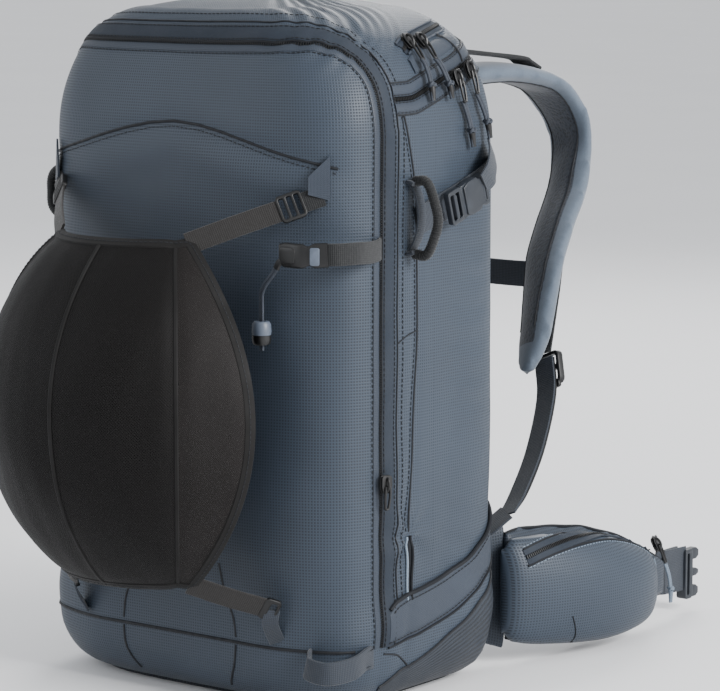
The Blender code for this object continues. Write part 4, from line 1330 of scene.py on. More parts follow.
def make_keeper_clip():
    """The clip that closes the axe keeper: a waisted body, its raised step and the pale half of the buckle."""
    z = KEEPER_Z
    marks = [(0.1455, -0.1185, z + 0.001), (0.13, -0.1275, z), (0.112, -0.1265, z)]
    path = even(smooth_path(marks, 8), 0.0018)
    section = rounded(0, 0, 0.0165, 0.0048, 0.0018, 3)
    sizes = []
    for k in range(len(path)):
        share = k / (len(path) - 1)
        waist = 1 - 0.22 * dent(share - 0.36, 0.07) - 0.1 * (share > 0.9)
        sizes.append((waist, 1 - 0.25 * dent(share - 0.36, 0.06)))
    work = bmesh.new()
    sweep(work, path, section, FRONT, sizes)
    step = plate([rounded(0, 0, 0.013, 0.011, 0.003)], 0.0016, 0.0006)
    sweep(work, smooth_path([(0.115, -0.128, z - 0.003), (0.111, -0.128, z - 0.006), KEEPER_CORD[0]], 4),
          round_section(0.0026, 8, 0.6), FRONT)
    grey = plate([rounded(0, 0, 0.0065, 0.012, 0.0012, 2)], 0.0064, 0.0005)
    clip = mesh_of("clip", work)
    parts = [(clip, Matrix.Identity(4), 0),
             (step, facing((0.12, -0.13, z), (-1, 0, 0), FRONT), 0),
             (grey, facing((0.1385, -0.1235, z), (-0.85, -0.5, 0), (0.5, -0.85, 0)), 1)]
    piece("keeper_clip_body", assemble("clip_body", parts), [BLACK_PLASTIC, LIGHT_PLASTIC], "keeper_clip",
          ["axe_keeper_clip"])


def make_cord_lock():
    profile = [(0.0029, 0.2604), (0.0052, 0.26), (0.0062, 0.2612), (0.0066, 0.264), (0.0066, 0.2665),
               (0.0029, 0.2665)]
    cap = [(0.0029, 0.2667), (0.0064, 0.2667), (0.0067, 0.269), (0.0064, 0.274), (0.0052, 0.2758),
           (0.0029, 0.276)]
    work = bmesh.new()
    lathe(work, profile, LOCK_CENTRE)
    lathe(work, cap, LOCK_CENTRE, slot=1)
    lock = piece("cord_lock_body", work, [BLACK_PLASTIC, LIGHT_PLASTIC], "cord_lock",
                 ["cord_lock"])
    make_cord("keeper_shock_cord", KEEPER_CORD, KEEPER_WIDTH, CORD, "keeper_clip", ["axe_keeper_cord"])


def make_axe_loop():
    z = 0.04
    points = [(0.113, -0.0975, z), (0.117, -0.105, z), (0.123, -0.113, z - 0.002),
              (0.138, -0.11, z - 0.004), (0.144, -0.09, z - 0.003), (0.142, -0.073, z),
              (0.1405, -0.064, z)]
    path = smooth_path(points, 8)
    faces = [Vector((p.x - 0.125, p.y + 0.085, 0)).normalized() for p in path]
    work = bmesh.new()
    sweep(work, path, web_section(0.016, 0.0022), faces)
    for k in (5, len(path) - 6):
        for rise in (-0.0055, 0.0055):
            line = [path[k - 4] + UP * rise, path[k + 4] + UP * rise]
            line = [p + faces[k] * 0.0012 for p in line]
            blocks(work, line, [faces[k], faces[k]], 0.002, (0.0014, 0.0007, 0.0004), slot=1)
    piece("axe_loop_webbing", work, [WEBBING, THREAD], "pack", ["axe_loop"])


# ---------------------------------------------------------------- sliders and cord pulls

PULLS = {
    "lid_pull_front": [(0.1456, 0.0318, 0.4176), (0.1472, 0.033, 0.4124), (0.1489, 0.0348, 0.4044),
                       (0.1498, 0.0368, 0.3954), (0.1502, 0.0385, 0.3854)],
    "lid_pull_back": [(0.144, 0.05, 0.4226), (0.146, 0.0515, 0.4174), (0.1482, 0.0535, 0.41),
                      (0.1498, 0.056, 0.4005), (0.1503, 0.058, 0.3905)],
    "pocket_pull_front": [(0.1372, -0.0045, 0.448), (0.1405, -0.0048, 0.444), (0.144, -0.0052, 0.437),
                          (0.1466, -0.0056, 0.429), (0.1482, -0.006, 0.4195)],
    "pocket_pull_back": [(0.1372, 0.0105, 0.448), (0.1405, 0.012, 0.444), (0.144, 0.0135, 0.437),
                         (0.1466, 0.015, 0.429), (0.1482, 0.016, 0.42)],
}
PULL_WIDTH = 0.0044
HIP_PULL = [(0.1655, 0.269, 0.0535), (0.1672, 0.2705, 0.047), (0.168, 0.272, 0.04),
            (0.168, 0.2735, 0.032), (0.1675, 0.2745, 0.0225)]
HIP_PULL_WIDTH = 0.0036


def make_cord(name, points, width, mat, body, replaces):
    """A doubled cord: two strands side by side along one route."""
    path = smooth_path(points, 6)
    radius = width * 0.27
    across = headings(path)[0].cross(OUT if abs(points[0][0]) > 0.12 else FRONT).normalized()
    work = bmesh.new()
    for share in (-1, 1):
        line = []
        for p, ahead in zip(path, headings(path)):
            side = (across - ahead * across.dot(ahead)).normalized()
            line.append(p + side * (share * (width / 2 - radius)))
        bead(work, line, None, radius, 10)
    cord = piece(name, work, mat, body, replaces)


def make_pull(name, points, width, body, tint, tail_mat):
    """A doubled cord pull with its knot and a moulded tail."""
    path = smooth_path(points, 6)
    marks = running(path)
    k = next(i for i, mark in enumerate(marks) if mark > marks[-1] * 0.64)
    work = bmesh.new()
    knot(work, path[k], headings(path)[k], width * 0.62, width * 0.27)
    last = len(path) - k - 2
    sizes = [(1 - 0.35 * i / last, 1 - 0.35 * i / last) for i in range(last + 1)]
    sweep(work, path[k + 1:], round_section(width * 0.58, 10), OUT, sizes, slot=1)
    end = piece(name + "_knot", work, [tint, tail_mat], body)
    make_cord(name + "_cord", points, width, tint, body, [name])


def make_pulls():
    for name, points in PULLS.items():
        make_pull(name, points, PULL_WIDTH, name.replace("_pull_", "_slider_"), CORD, BLACK_PLASTIC)
    make_pull("hip_pull", HIP_PULL, HIP_PULL_WIDTH, "hip_slider", PALE_CORD, PALE_CORD)


def make_slider(name, spot, down, out):
    """A moulded zip slider: two wedge plates, the post between them and the arched bridge."""
    place = facing(spot, down, out)
    wedge = mirror_outline([(-0.0062, 0.003), (-0.0048, 0.0043), (0.001, 0.0045), (0.005, 0.0034),
                            (0.0062, 0.0022)])
    post = rounded(-0.004, 0, 0.003, 0.0026, 0.0008, 2)
    layers = ((wedge, 0.0012, 0.0004, 0.0012), (wedge, 0.0012, 0.0004, 0.0034), (post, 0.003, 0.0003, 0.0022))
    parts = [(plate([outline], thick, bevel), place @ Matrix.Translation((0, 0, rise)), 0)
             for outline, thick, bevel, rise in layers]
    arch = bmesh.new()
    bridge = [(-0.0046, 0, 0.0038), (-0.003, 0, 0.0056), (0.001, 0, 0.006), (0.0046, 0, 0.004)]
    sweep(arch, smooth_path(bridge), round_section(0.001, 8), UP)
    eye = smooth_path([(0.0012, 0.0016, 0.0048), (0.008, 0.002, 0.0044), (0.016, 0.0013, 0.0036),
                       (0.0172, 0.0, 0.0034), (0.016, -0.0013, 0.0036), (0.008, -0.002, 0.0044),
                       (0.0012, -0.0016, 0.0048)], 5)
    sweep(arch, eye, round_section(0.0009, 8), (0, 0, 1))
    parts.append((mesh_of("bridge", arch), place, 0))
    piece(name + "_body", assemble(name, parts), BLACK_PLASTIC, name, [name])


def make_sliders():
    for word, y in (("front", 0.03), ("back", 0.048)):
        z = lid_line(y) - 0.0038
        name = "lid_slider_" + word
        make_slider(name, (side_x(y, z) + 0.0023, y, z), (0.28, 0.1, -1), (1, 0, 0.3))
    for word, y in (("front", -0.0045), ("back", 0.0105)):
        name = "pocket_slider_" + word
        make_slider(name, (side_x(y, 0.458) + 0.0021, y, 0.458), (0.9, 0, -1), (1, 0, 0.9))
    spot = (side_x(FLAP_Y, 0.16) + 0.0016, FLAP_Y, 0.16)
    make_slider("front_slider", spot, (0, 0, -1), (1, -0.25, 0))
    make_slider("hip_slider", (0.1585, 0.263, 0.068), (0.25, 0.4, -1), (1, 0.2, 0.5))


# ---------------------------------------------------------------- stuffed pieces

PAD_VOXEL, POCKET_VOXEL = 0.0045, 0.004
CLOTH = {"quality": 5, "mass": 0.3, "tension_stiffness": 15, "compression_stiffness": 15,
         "bending_stiffness": 0.5, "use_pressure": True, "uniform_pressure_force": 4.0}
CLOTH_FRAMES = 20
SWELL_CAP = 0.004    # the most that a point may move under pressure
EVENING = 10         # passes that share each point's move with its neighbours
SMOOTHING = 7


def soft_form(name, work, voxel=PAD_VOXEL):
    """Remeshes a closed form into even quads, ready to swell."""
    obj = piece(name, work, [])
    step = obj.modifiers.new("voxels", "REMESH")
    step.mode = "VOXEL"
    step.voxel_size = voxel
    step.use_smooth_shade = True
    return bake(obj)


def inflate(forms):
    """Swells the stuffed pieces as cloth under pressure, caps the swelling and smooths them."""
    before = {obj: [v.co.copy() for v in obj.data.vertices] for obj in forms}
    for obj in forms:
        cloth = obj.modifiers.new("cloth", "CLOTH")
        for key, value in CLOTH.items():
            setattr(cloth.settings, key, value)
        cloth.settings.effector_weights.gravity = 0.0
        cloth.collision_settings.use_collision = False
    for number in range(1, CLOTH_FRAMES + 1):
        bpy.context.scene.frame_set(number)
    for obj in forms:
        bake(obj)
    bpy.context.scene.frame_set(1)
    for obj in forms:
        starts = before[obj]
        moves = [vert.co - start for vert, start in zip(obj.data.vertices, starts)]
        moves = [move * min(1.0, SWELL_CAP / max(move.length, 1e-9)) for move in moves]
        pairs = [tuple(edge.vertices) for edge in obj.data.edges]
        for _ in range(EVENING):
            sums, counts = [move.copy() for move in moves], [1] * len(moves)
            for a, b in pairs:
                sums[a] += moves[b]
                sums[b] += moves[a]
                counts[a] += 1
                counts[b] += 1
            moves = [total / count for total, count in zip(sums, counts)]
        for vert, start, move in zip(obj.data.vertices, starts, moves):
            vert.co = start + move
        obj.modifiers.new("smooth", "SMOOTH").iterations = SMOOTHING
        finer = obj.modifiers.new("subsurf", "SUBSURF")
        finer.levels = finer.render_levels = 1
        bake(obj)
        obj.data.shade_smooth()


def open_chart(obj):
    """A soft piece's bmesh with the layers for its weave and its inner face."""
    work = bmesh.new()
    work.from_mesh(obj.data)
    layer = work.loops.layers.uv.get(UV) or work.loops.layers.uv.new(UV)
    return work, layer, work.verts.layers.float.new("inner")


def chart(obj, path, widths, faces, rim):
    """Lays the weave along a soft strap and marks its inner face, inside the bound rim."""
    heads, marks = headings(path), running(path)
    work, layer, inner = open_chart(obj)
    for vert in work.verts:
        k = min(range(len(path)), key=lambda i: (vert.co - path[i]).length_squared)
        away = vert.co - path[k]
        up = (faces[k] - heads[k] * faces[k].dot(heads[k])).normalized()
        across = away.dot(heads[k].cross(up))
        place = (across, marks[k] + away.dot(heads[k]))
        side = 1.0 if away.dot(up) < 0 else -1.0
        ends = min(place[1] - rim, marks[-1] - rim * 1.8 - place[1])
        vert[inner] = min(widths[k] / 2 - rim - abs(across), ends) / 0.02 if side > 0 else -1.0
        for loop in vert.link_loops:
            loop[layer].uv = place
    work.to_mesh(obj.data)
    work.free()


def flat_chart(obj, face=None, rim=0.01):
    """Weave axes for a pad that lies against the back or side: across and up."""
    work, layer, inner = open_chart(obj)
    low = Vector([min(v.co[i] for v in work.verts) for i in range(3)])
    high = Vector([max(v.co[i] for v in work.verts) for i in range(3)])
    for vert in work.verts:
        p = vert.co
        place = (p.x, p.z) if face is not None and abs(face[1]) > 0.5 else (p.y, p.z)
        vert[inner] = -1.0
        if face is not None:
            edge = min(p.x - low.x, high.x - p.x, p.z - low.z, high.z - p.z) - rim
            vert[inner] = edge / 0.02 if vert.normal.dot(Vector(face)) > 0.3 else -1.0
        for loop in vert.link_loops:
            loop[layer].uv = place
    work.to_mesh(obj.data)
    work.free()


def onto(tree, points, direction, lift):
    """Drops points onto a soft piece along a direction, and a little proud of it."""
    out, normals = [], []
    for p in points:
        p, d = Vector(p), Vector(direction).normalized()
        spot, normal, _, _ = tree.ray_cast(p + d * 0.08, -d, 0.2)
        if spot is None:
            spot, normal, _, _ = tree.find_nearest(p)
        out.append(spot + normal * lift)
        normals.append(normal)
    return out, normals


def tree_of(obj):
    work = bmesh.new()
    work.from_mesh(obj.data)
    tree = BVHTree.FromBMesh(work)
    work.free()
    return tree


# ---------------------------------------------------------------- harness

PAD_LINE = [(0.053, 0.108, 0.412), (0.056, 0.15, 0.426), (0.062, 0.193, 0.4295), (0.068, 0.235, 0.42),
            (0.072, 0.26, 0.398), (0.076, 0.268, 0.371), (0.081, 0.2565, 0.34), (0.087, 0.23, 0.3106),
            (0.093, 0.208, 0.2845), (0.098, 0.195, 0.2567), (0.103, 0.1833, 0.2294), (0.106, 0.17, 0.205)]
LIFTER_LINE = [(0.056, 0.096, 0.4468), (0.058, 0.13, 0.4465), (0.063, 0.17, 0.4425), (0.067, 0.205, 0.4385),
               (0.068, 0.214, 0.435), (0.069, 0.224, 0.43)]
LOWER_LINE = [(0.1095, 0.185, 0.216), (0.118, 0.1755, 0.19), (0.126, 0.15, 0.154), (0.131, 0.122, 0.126),
              (0.133, 0.1045, 0.1125)]
ADJUSTER_LINE = [(0.1085, 0.1875, 0.22), (0.114, 0.1865, 0.208), (0.1165, 0.181, 0.197)]
LOWER_FACE = (0.33, 0.66, -0.52)
PAD_WIDTH, PAD_THICK, PAD_TWIST, PAD_RIM = 0.06, 0.014, math.radians(35), 0.0125
PAD_MARKS, PAD_TIP = 22, 5    # the pad's length counted in marks, and the marks that its tip narrows over
STERNUM_Y, STERNUM_Z = 0.2318, 0.272


def shoulder_frame(side, steps):
    """The shoulder pad's centreline with its width and its outward face at each point."""
    path = smooth_path(mirrored(side, PAD_LINE), steps)
    last = len(path) - 1
    widths, faces = [], []
    for k, ahead in enumerate(headings(path)):
        mark = k / last * PAD_MARKS
        tip = max(0.0, (mark - PAD_MARKS + PAD_TIP) / PAD_TIP)
        widths.append(PAD_WIDTH * (0.62 + 0.38 * min(1.0, mark / 6)) * (1 - 0.3 * tip))
        turn = PAD_TWIST * fade(k / last, 0.25, 0.6)
        across = Vector((side * math.cos(turn), -math.sin(turn), 0))
        across = (across - ahead * across.dot(ahead)).normalized()
        face = across.cross(ahead) * side
        faces.append(face.normalized())
    return path, widths, faces


def shoulder_form(side, word):
    path, widths, faces = shoulder_frame(side, 4)
    last = len(path) - 1
    section = [(eased(math.cos(a), 0.7) / 2, eased(math.sin(a), 0.8) / 2) for a in turns(20)]
    scales = []
    for k, wide in enumerate(widths):
        tip = min(1.0, (last - k + 0.6) / 4) ** 0.5
        root = 0.55 + 0.45 * min(1.0, k / 6)
        scales.append((wide * 0.94 * tip, PAD_THICK * 0.82 * root * (0.75 + 0.25 * tip)))
    work = bmesh.new()
    sweep(work, path, section, faces, scales)
    return soft_form("shoulder_" + word, work)


def join(obj, replaces=()):
    """A piece between the pack and a shoulder strap: its transform goes into its mesh, and the CAD nodes that it
    stands for are hidden.
    """
    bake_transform(obj)
    mark_slot(replaces)


def make_pad_root(side, word):
    """The cloth that sews the top of a shoulder strap to the back."""
    foot = skin(side * 0.051, BACK_DEPTH, 0.39, -0.001)
    top = [Vector(p) for p in mirrored(side, PAD_LINE[:2])]
    path = smooth_path([foot, Vector((side * 0.0515, 0.0945, 0.401)), top[0], top[0].lerp(top[1], 0.35)], 6)
    last = len(path) - 1
    section = rounded(0, 0, 1.0, 1.0, 0.35, 4)
    scales = [(0.04, 0.005 + 0.0045 * k / last) for k in range(last + 1)]
    work = bmesh.new()
    sweep(work, path, section, [Vector((0, -0.6, 0.8))] * (last + 1), scales)
    root = piece("pad_root_" + word, work, COVER)
    join(root)


def finish_shoulder(side, word, pad):
    path, widths, faces = shoulder_frame(side, 4)
    body = "shoulder_" + word
    lower_face = (side * LOWER_FACE[0], *LOWER_FACE[1:])
    chart(pad, path, widths, faces, PAD_RIM)
    pad.data.materials.append(PAD)
    anchor = [skin(side * 0.115, BACK_DEPTH, 0.096, 0.0006),
              *mirrored(side, [(0.124, 0.096, 0.104), (0.1325, 0.106, 0.114)])]
    strap("lower_anchor_" + word, anchor, lower_face, 0.022, 0.0016, WEBBING, "pack")
    settle(pad, body, ["shoulder_pad_" + word])
    tree = tree_of(pad)
    make_pad_rim(word, path, widths, faces, tree)
    make_strap_keeper(word, path, faces, tree)
    root = skin(side * 0.056, BACK_DEPTH, 0.438, 0.0008)
    line = mirrored(side, LIFTER_LINE)
    lifter = strap("lifter_webbing_" + word, [root, root + Vector((0, 0.003, 0.005)), *line],
                   (0, 0.2, 1), 0.02, 0.0026, BLACK_WEB)
    join(lifter, ["load_lifter_" + word])
    make_pad_root(side, word)
    make_lower_strap(side, word, lower_face, path, faces, tree)
    make_sternum(side, word, body)


def make_pad_rim(word, path, widths, faces, tree):
    """The stitched line where the pad's face meets its bound edge."""
    work = bmesh.new()
    heads = headings(path)
    for edge in (-1, 1):
        line = []
        for k in range(3, len(path) - 5):
            across = heads[k].cross(faces[k])
            spot = path[k] + across * (edge * (widths[k] / 2 - PAD_RIM)) - faces[k] * 0.012
            near, normal, _, _ = tree.find_nearest(spot)
            line.append(near + normal * 0.0001)
        bead(work, line, None, 0.0006)
    piece("shoulder_rim_" + word, work, THREAD, "shoulder_" + word)


def make_strap_keeper(word, path, faces, tree):
    k = int(len(path) * 0.4)
    spot = tree.find_nearest(path[k] + faces[k] * 0.02)[0] + faces[k] * 0.001
    bar = plate([rounded(0, 0, 0.009, 0.024, 0.002)], 0.0024)
    hold = assemble("strap_keeper", [(bar, facing(spot, headings(path)[k], faces[k]), 0)])
    piece("strap_keeper_" + word, hold, BLACK_PLASTIC, "shoulder_" + word)


def make_lower_strap(side, word, lower_face, path, faces, tree):
    """The doubled lower strap, its adjuster and the tab that sews the adjuster to the pad."""
    body = "shoulder_" + word
    low = mirrored(side, LOWER_LINE)
    strap("lower_webbing_" + word, low, lower_face, 0.02, 0.0016, WEBBING, body,
          ["lower_strap_" + word])
    face = Vector(lower_face)
    apart = face.normalized()
    second = [*raised(low[:-1], [apart] * 4, 0.0019), low[-1] + apart * 0.0003]
    strap("lower_tail_" + word, second, lower_face, 0.0195, 0.0014, BLACK_WEB, body)
    root = []
    for k in (-22, -18, -14, -10, -6):
        near, normal, _, _ = tree.find_nearest(path[k] + faces[k] * 0.02)
        root.append(near + normal * 0.001)
    spots = mirrored(side, ADJUSTER_LINE)
    strap("adjuster_tab_" + word, [*root, spots[0]], faces[-12], 0.021, WEB, BLACK_WEB, body)
    run = (spots[2] - spots[0]).normalized()
    bar = plate([rounded(0, 0, 0.006, 0.024, 0.002)], 0.003)
    lock = assemble("adjuster", [(ladder_lock(0.025, 0.026, 0.0052), facing(spots[1], run, face), 0),
                                 (bar, facing(spots[2] + apart * 0.0012, run, face), 0)])
    piece("adjuster_frame_" + word, lock, BLACK_PLASTIC, body, ["strap_adjuster_" + word])


def make_sternum(side, word, body):
    """One half of the sternum strap with its half of the buckle."""
    low, high = (0.007, 0.0745) if side > 0 else (-0.0745, -0.024)
    y, z = STERNUM_Y + WEB / 2, STERNUM_Z
    line = [(low, y, z), ((low + high) / 2, y + 0.0004, z - 0.0004), (high, y, z)]
    strap("sternum_webbing_" + word, line, (0, 1, 0), 0.0198, WEB, WEBBING, body,
          ["sternum_strap_" + word])
    place = facing((0.0047 if side > 0 else -0.0132, STERNUM_Y + 0.0015, z), (1, 0, 0), (0, 1, 0))
    if side > 0:
        outlines = [rounded(0, 0, 0.0084, 0.0245, 0.0022), rounded(0.001, 0, 0.0026, 0.019, 0.0008, 2)]
        parts = [(plate(outlines, 0.007), place, 0)]
    else:
        shape = mirror_outline([(-0.0126, 0.01), (-0.011, 0.0122), (-0.002, 0.0122), (0.002, 0.01),
                                (0.007, 0.01), (0.0126, 0.0118)])
        button = plate([rounded(0.004, 0, 0.01, 0.012, 0.003)], 0.0016)
        parts = [(plate([shape, rounded(-0.0085, 0, 0.0028, 0.0185, 0.0008, 2)], 0.007), place, 0),
                 (button, place @ Matrix.Translation((0, 0, 0.0036)), 0)]
    piece("sternum_clasp_" + word, assemble("sternum_clasp", parts), GREY_PLASTIC, body,
          ["sternum_buckle_" + word])


WING_LINE = [(0.118, 0.109), (0.124, 0.15), (0.13, 0.195), (0.134, 0.24), (0.135, 0.275), (0.134, 0.306)]
POCKET_ROOT = (0.115, 0.0985)
WING_LOWS = [0.012, 0.006, 0.003, 0.006, 0.013, 0.02]
WING_TOPS = [0.105, 0.104, 0.098, 0.084, 0.068, 0.052]


def fin_form(side, word):
    work = bmesh.new()
    line = smooth_path([(x, y, 0) for x, y in WING_LINE], 4)
    lows = smooth_path([(z, 0, 0) for z in WING_LOWS], 4)
    tops = smooth_path([(z, 0, 0) for z in WING_TOPS], 4)
    rows = []
    for p, low, high in zip(line, lows, tops):
        low, high, ring = low.x + 0.0008, high.x - 0.0008, []
        for a in turns(24):
            dz = eased(math.sin(a), 0.55) * (high - low) / 2
            dx = eased(math.cos(a), 0.8) * 0.0042
            ring.append(Vector((side * (p.x + 0.0052 + dx), p.y, (low + high) / 2 + dz)))
        rows.append(ring)
    grid(work, rows, wrap=True, ends=True)
    return soft_form("hip_wing_" + word, work)


def pocket_form():
    work = bmesh.new()
    bulges = smooth_path([(b, 0, 0) for b in (0.002, 0.014, 0.027, 0.032, 0.026, 0.006)], 6)
    line = smooth_path([(x, y, 0) for x, y in [POCKET_ROOT, *WING_LINE[:5]]], 6)
    lows = smooth_path([(z, 0, 0) for z in [0.02, *WING_LOWS[:5]]], 6)
    tops = smooth_path([(z, 0, 0) for z in [0.095, *WING_TOPS[:5]]], 6)
    rows = []
    for p, low, high, bulge in zip(line, lows, tops, bulges):
        base, low, high = p.x + 0.0118, low.x + 0.001, high.x - 0.008
        third = (high - low) / 3
        key = [(0, low), (bulge.x * 0.75, low + 0.006), (bulge.x, low + third), (bulge.x * 0.96, low + 2 * third),
               (bulge.x * 0.5, high - 0.004), (0, high)]
        ring = smooth_path([(dx, 0, z) for dx, z in key], 5)
        rows.append([Vector((base + max(0.0, q.x), p.y, q.z)) for q in ring])
    grid(work, rows, wrap=True, ends=True)
    return soft_form("hip_pocket", work, POCKET_VOXEL)


def pocket_lines(tree, shift):
    """The zip's line over the pocket's top, shifted up or down across it."""
    marks = [(0.112, 0.083), (0.135, 0.086), (0.165, 0.087), (0.195, 0.085), (0.222, 0.079), (0.245, 0.071),
             (0.262, 0.064)]
    path = smooth_path([(0.15, y, z + shift) for y, z in marks], 6)
    return onto(tree, path, (1, 0, 0.45), 0.0)


def finish_pocket(pocket):
    flat_chart(pocket)
    pocket.data.materials.append(FABRIC)
    settle(pocket, "hip_right", ["hip_pocket_right"])
    tree = tree_of(pocket)
    path, normals = pocket_lines(tree, 0.0)
    work = bmesh.new()
    sweep(work, path, web_section(0.012, 0.0012), normals)
    blocks(work, raised(path, normals, 0.0006), normals, 0.0017, (0.001, 0.0036, 0.0009), slot=1)
    piece("hip_zip_tape", work, [COVER, BLACK_PLASTIC], "hip_right")
    work = bmesh.new()
    for shift in (0.0086, -0.0086):
        path, normals = pocket_lines(tree, shift)
        blocks(work, path, normals, 0.0034, (0.0022, 0.0007, 0.0005), 0.0002)
    piece("hip_zip_stitches", work, PALE_THREAD, "hip_right")
    work = bmesh.new()
    for shift, size in ((0.0068, 0.0009), (-0.0068, 0.0009)):
        path, normals = pocket_lines(tree, shift)
        bead(work, raised(path, normals, 0.0003), normals, size)
    front = [(0.16, 0.269 + 0.004 * math.sin(k / 10 * math.pi), 0.06 - 0.004 * k) for k in range(11)]
    path, normals = onto(tree, front, (1, 0.3, 0), 0.0003)
    bead(work, smooth_path(path, 3), None, 0.0013, 8, 1)
    dart = [(0.16, 0.146 + 0.008 * math.sin(k / 8 * 1.6), 0.034 - 0.0036 * k) for k in range(9)]
    path, normals = onto(tree, dart, (1, 0, 0), 0.0001)
    bead(work, smooth_path(path, 3), None, 0.0005)
    piece("hip_pocket_seams", work, [BINDING, PALE_THREAD], "hip_right")


def calm(path, passes):
    """Evens out the small steps of a line that was dropped onto a soft piece."""
    for _ in range(passes):
        path = [path[0], *[(a + b * 2 + c) / 4 for a, b, c in zip(path, path[1:], path[2:])], path[-1]]
    return path


def make_hip_root(side, word):
    """The cloth that joins the hip fin to the back of the bag."""
    work = bmesh.new()
    rows = []
    for k in range(11):
        share = k / 10
        x, y = 0.098 + 0.024 * share ** 0.7, 0.089 + 0.026 * share
        low, high = 0.02 - 0.01 * share, 0.096 + 0.006 * share
        ring = []
        for a in turns(20):
            dz = eased(math.sin(a), 0.6) * (high - low) / 2
            dx, dy = math.cos(a) * 0.0036, -math.cos(a) * 0.0008
            ring.append(Vector((side * (x + dx), y + dy, (low + high) / 2 + dz)))
        rows.append(ring)
    grid(work, rows, wrap=True, ends=True)
    root = piece("hip_root_" + word, work, ripstop_dark())
    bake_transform(root)


def finish_fin(side, word, fin):
    body = "hip_" + word
    flat_chart(fin, face=(side, 0, 0), rim=0.0)
    fin.data.materials.append(ripstop_dark())
    settle(fin, body, ["hip_fin_" + word])
    tree = tree_of(fin)
    work = bmesh.new()
    rim = []
    for marks, shift in ((WING_TOPS, -0.0005), (WING_LOWS[::-1], 0.0005)):
        line = WING_LINE if marks is WING_TOPS else WING_LINE[::-1]
        rim += [(side * (x + 0.0052), y, z + shift) for (x, y), z in zip(line, marks)]
    path = calm([tree.find_nearest(p)[0] for p in even(smooth_path(rim, 6), 0.004)], 12)
    bead(work, path, (side, 0, 0), 0.0014, 8)
    piece("hip_binding_" + word, work, BINDING, body)
    fold = [(0.1371, 0.3, 0.036), (0.1371, 0.327, 0.036), (0.1378, 0.329, 0.036), (0.1385, 0.327, 0.036),
            (0.1385, 0.311, 0.036), (0.1392, 0.309, 0.036), (0.1399, 0.311, 0.036), (0.1399, 0.338, 0.035)]
    strap("hip_webbing_" + word, mirrored(side, fold), (side, 0, 0), 0.035, 0.0011, WEBBING, body,
          ["hip_strap_" + word], steps=6)
    make_hip_root(side, word)
    make_hip_buckle(side, word, body)


def ripstop_dark():
    return bpy.data.materials.get("hip_ripstop") or ripstop("hip_ripstop", (0.014, 0.0195, 0.0285))


def make_hip_buckle(side, word, body):
    place = facing((side * 0.1385, 0.3455, 0.03), (0, 1, 0), (side, 0, 0))
    if side > 0:
        outlines = [rounded(-0.0052, 0, 0.0106, 0.0396, 0.0028), rounded(-0.0062, 0, 0.0034, 0.033, 0.001, 2)]
        parts = [(plate(outlines, 0.0088), place, 0)]
        for shift, high in ((0.015, 0.009), (-0.015, 0.009), (0.0, 0.006)):
            prong = [(-0.001, -high / 2), (0.007, -high / 2), (0.0104, -high / 4), (0.0104, high / 4),
                     (0.007, high / 2), (-0.001, high / 2)]
            parts.append((plate([prong], 0.006), place @ Matrix.Translation((0, shift, 0)), 0))
    else:
        shell = [(-0.0104, -0.017), (-0.008, -0.0198), (0.004, -0.0198), (0.0104, -0.015),
                 (0.0104, 0.015), (0.004, 0.0198), (-0.008, 0.0198), (-0.0104, 0.017)]
        holes = [rounded(-0.0066, 0, 0.0034, 0.033, 0.001, 2), rounded(0.003, 0, 0.005, 0.018, 0.002)]
        parts = [(plate([shell, *holes], 0.0088), place, 0)]
    piece("hip_clasp_" + word, assemble("hip_clasp", parts), GREY_PLASTIC, body,
          ["hip_buckle_" + word])


# ---------------------------------------------------------------- back of the pack

def back_form(name, low, high, corner_power=5.0):
    """A crowned pad against the back: low and high are its corners in (x, y, z)."""
    work = bmesh.new()
    cx, cz = (low[0] + high[0]) / 2, (low[2] + high[2]) / 2
    hx, hz = (high[0] - low[0]) / 2 - 0.001, (high[2] - low[2]) / 2 - 0.001
    rows = []
    for depth, share in ((0.0006, 0.9), (0.0006, 0.97), (0.3, 1.0), (0.62, 0.98), (0.84, 0.92), (0.95, 0.8),
                         (0.98, 0.5)):
        y = low[1] + (high[1] - low[1] - 0.002) * depth
        ring = []
        for a in turns(48):
            x = eased(math.cos(a), 2 / corner_power) * (hx - (1 - share) * 0.02)
            z = eased(math.sin(a), 2 / corner_power) * (hz - (1 - share) * 0.02)
            ring.append(Vector((cx + x, y, cz + z)))
        rows.append(ring)
    grid(work, rows, wrap=True, ends=True)
    return soft_form(name, work)


def finish_back(pad, node):
    flat_chart(pad, face=(0, 1, 0), rim=0.009)
    pad.data.materials.append(DARK_PAD)
    settle(pad, "pack", [node])
    tree = tree_of(pad)
    low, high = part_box(node)
    work = bmesh.new()
    count = 3 if high[2] - low[2] > 0.2 else 1
    for k in range(count):
        z = low[2] + (high[2] - low[2]) * (k + 1) / (count + 1)
        marks = [(low[0] + 0.01 + (high[0] - low[0] - 0.02) * i / 14, high[1], z) for i in range(15)]
        path, normals = onto(tree, marks, (0, 1, 0), 0.0001)
        sweep(work, path, web_section(0.005, 0.0012), normals)
        blocks(work, raised(path, normals, 0.0007), normals, 0.0036, (0.0024, 0.0008, 0.0004), slot=1)
    piece(node + "_channels", mesh_of(node, work), [BINDING, THREAD], "pack")


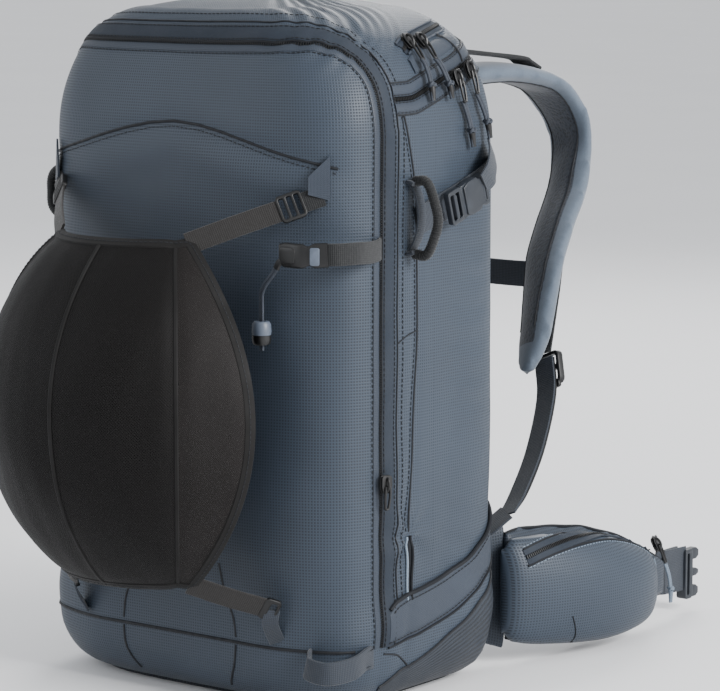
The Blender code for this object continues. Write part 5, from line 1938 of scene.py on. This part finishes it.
def make_haul_handle():
    half = [(0.022, 0.107, 0.449), (0.036, 0.101, 0.436), (0.034, 0.097, 0.418)]
    path = smooth_path([*mirrored(-1, half[::-1]), (0.0, 0.109, 0.452), *half], 8)
    last = len(path) - 1
    section = rounded(0, 0, 0.01, 0.0048, 0.0018, 3)
    bows = [math.sin(math.pi * k / last) for k in range(last + 1)]
    scales = [(0.82 + 0.18 * bow, 0.7 + 0.3 * bow) for bow in bows]
    faces = [Vector((p.x * 0.8, 0.0, p.z - 0.43 + 0.004)).normalized() for p in path]
    work = bmesh.new()
    sweep(work, path, section, faces, scales)
    for rise in (-0.0032, 0.0032):
        line = [p + f * 0.0024 + Vector((0, rise, 0)) for p, f in zip(path[6:-6], faces[6:-6])]
        blocks(work, line, faces[6:-6], *FINE_STITCH, slot=1)
    piece("haul_webbing", work, [WEBBING, THREAD], "haul_handle", ["haul_handle"])


def make_harness_yoke():
    """The sewn-down yoke across the top of the back, which hides the roots of the shoulder straps."""
    work = bmesh.new()
    rows = []
    for k in range(15):
        z = 0.392 + 0.03 * k / 14
        rows.append([Vector((x, skin(x, BACK_DEPTH, z).y + 0.0012 * math.sin(math.pi * k / 14) + 0.0004, z))
                     for x in [-0.102 + 0.204 * i / 40 for i in range(41)]])
    grid(work, rows)
    yoke = piece("harness_yoke", work, COVER)
    solidify(yoke, 0.0016, offset=0.0)
    settle(yoke, "pack")


def finish_cad_nodes():
    """Better materials for the inner pieces whose CAD shape is already right."""
    for node, mat in (("frame_stay", ROD), ("frame_sheet", BOARD), ("tool_sleeve", LINING)):
        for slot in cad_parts[node].material_slots:
            slot.material = mat


def make_floor():
    """A pale floor wide enough that its far edge is out of the photo's view."""
    work = bmesh.new()
    tile, count, drop = 8.0, 4, -0.0002
    rows = [[Vector((x * tile, y * tile, drop)) for x in range(-count, count + 1)]
            for y in range(-count, count + 1)]
    grid(work, rows)
    paint = Paint("studio_floor", Roughness=0.9)
    mat = paint.finish(paint.mix(paint.noise(3, 2), (0.8, 0.8, 0.81), (0.84, 0.84, 0.85)))
    floor = bpy.data.objects.new("studio_floor", mesh_of("studio_floor", work))
    floor.data.materials.append(mat)
    bpy.context.scene.collection.objects.link(floor)


make_camera()
make_studio()
make_floor()
make_pulls()
make_keeper_strap()
make_keeper_clip()
make_cord_lock()

pads = {"shoulder_" + word: shoulder_form(side, word) for side, word in SIDES}
fins = {word: fin_form(side, word) for side, word in SIDES}
pocket = pocket_form()
BACK_PADS = ("back_pad_left", "back_pad_right", "lumbar_pad")
backs = {node: back_form(node + "_foam", *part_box(node)) for node in BACK_PADS}
inflate([*pads.values(), *fins.values(), pocket, *backs.values()])
for side, word in SIDES:
    finish_shoulder(side, word, pads["shoulder_" + word])
    finish_fin(side, word, fins[word])
finish_pocket(pocket)
for node, pad in backs.items():
    finish_back(pad, node)

make_shells()
make_divider()
make_front_zip()
make_lid_zip()
make_lid_pocket()
for side, word in SIDES:
    make_side_seams(side, word)
    make_side_wing(side, word)
    make_slit_pocket(side, word)
for make in (make_front_details, make_base, make_net, make_net_straps, make_corner_tabs, make_gear_loops,
             make_compression, make_axe_loop, make_sliders, make_haul_handle, make_harness_yoke, finish_cad_nodes):
    make()
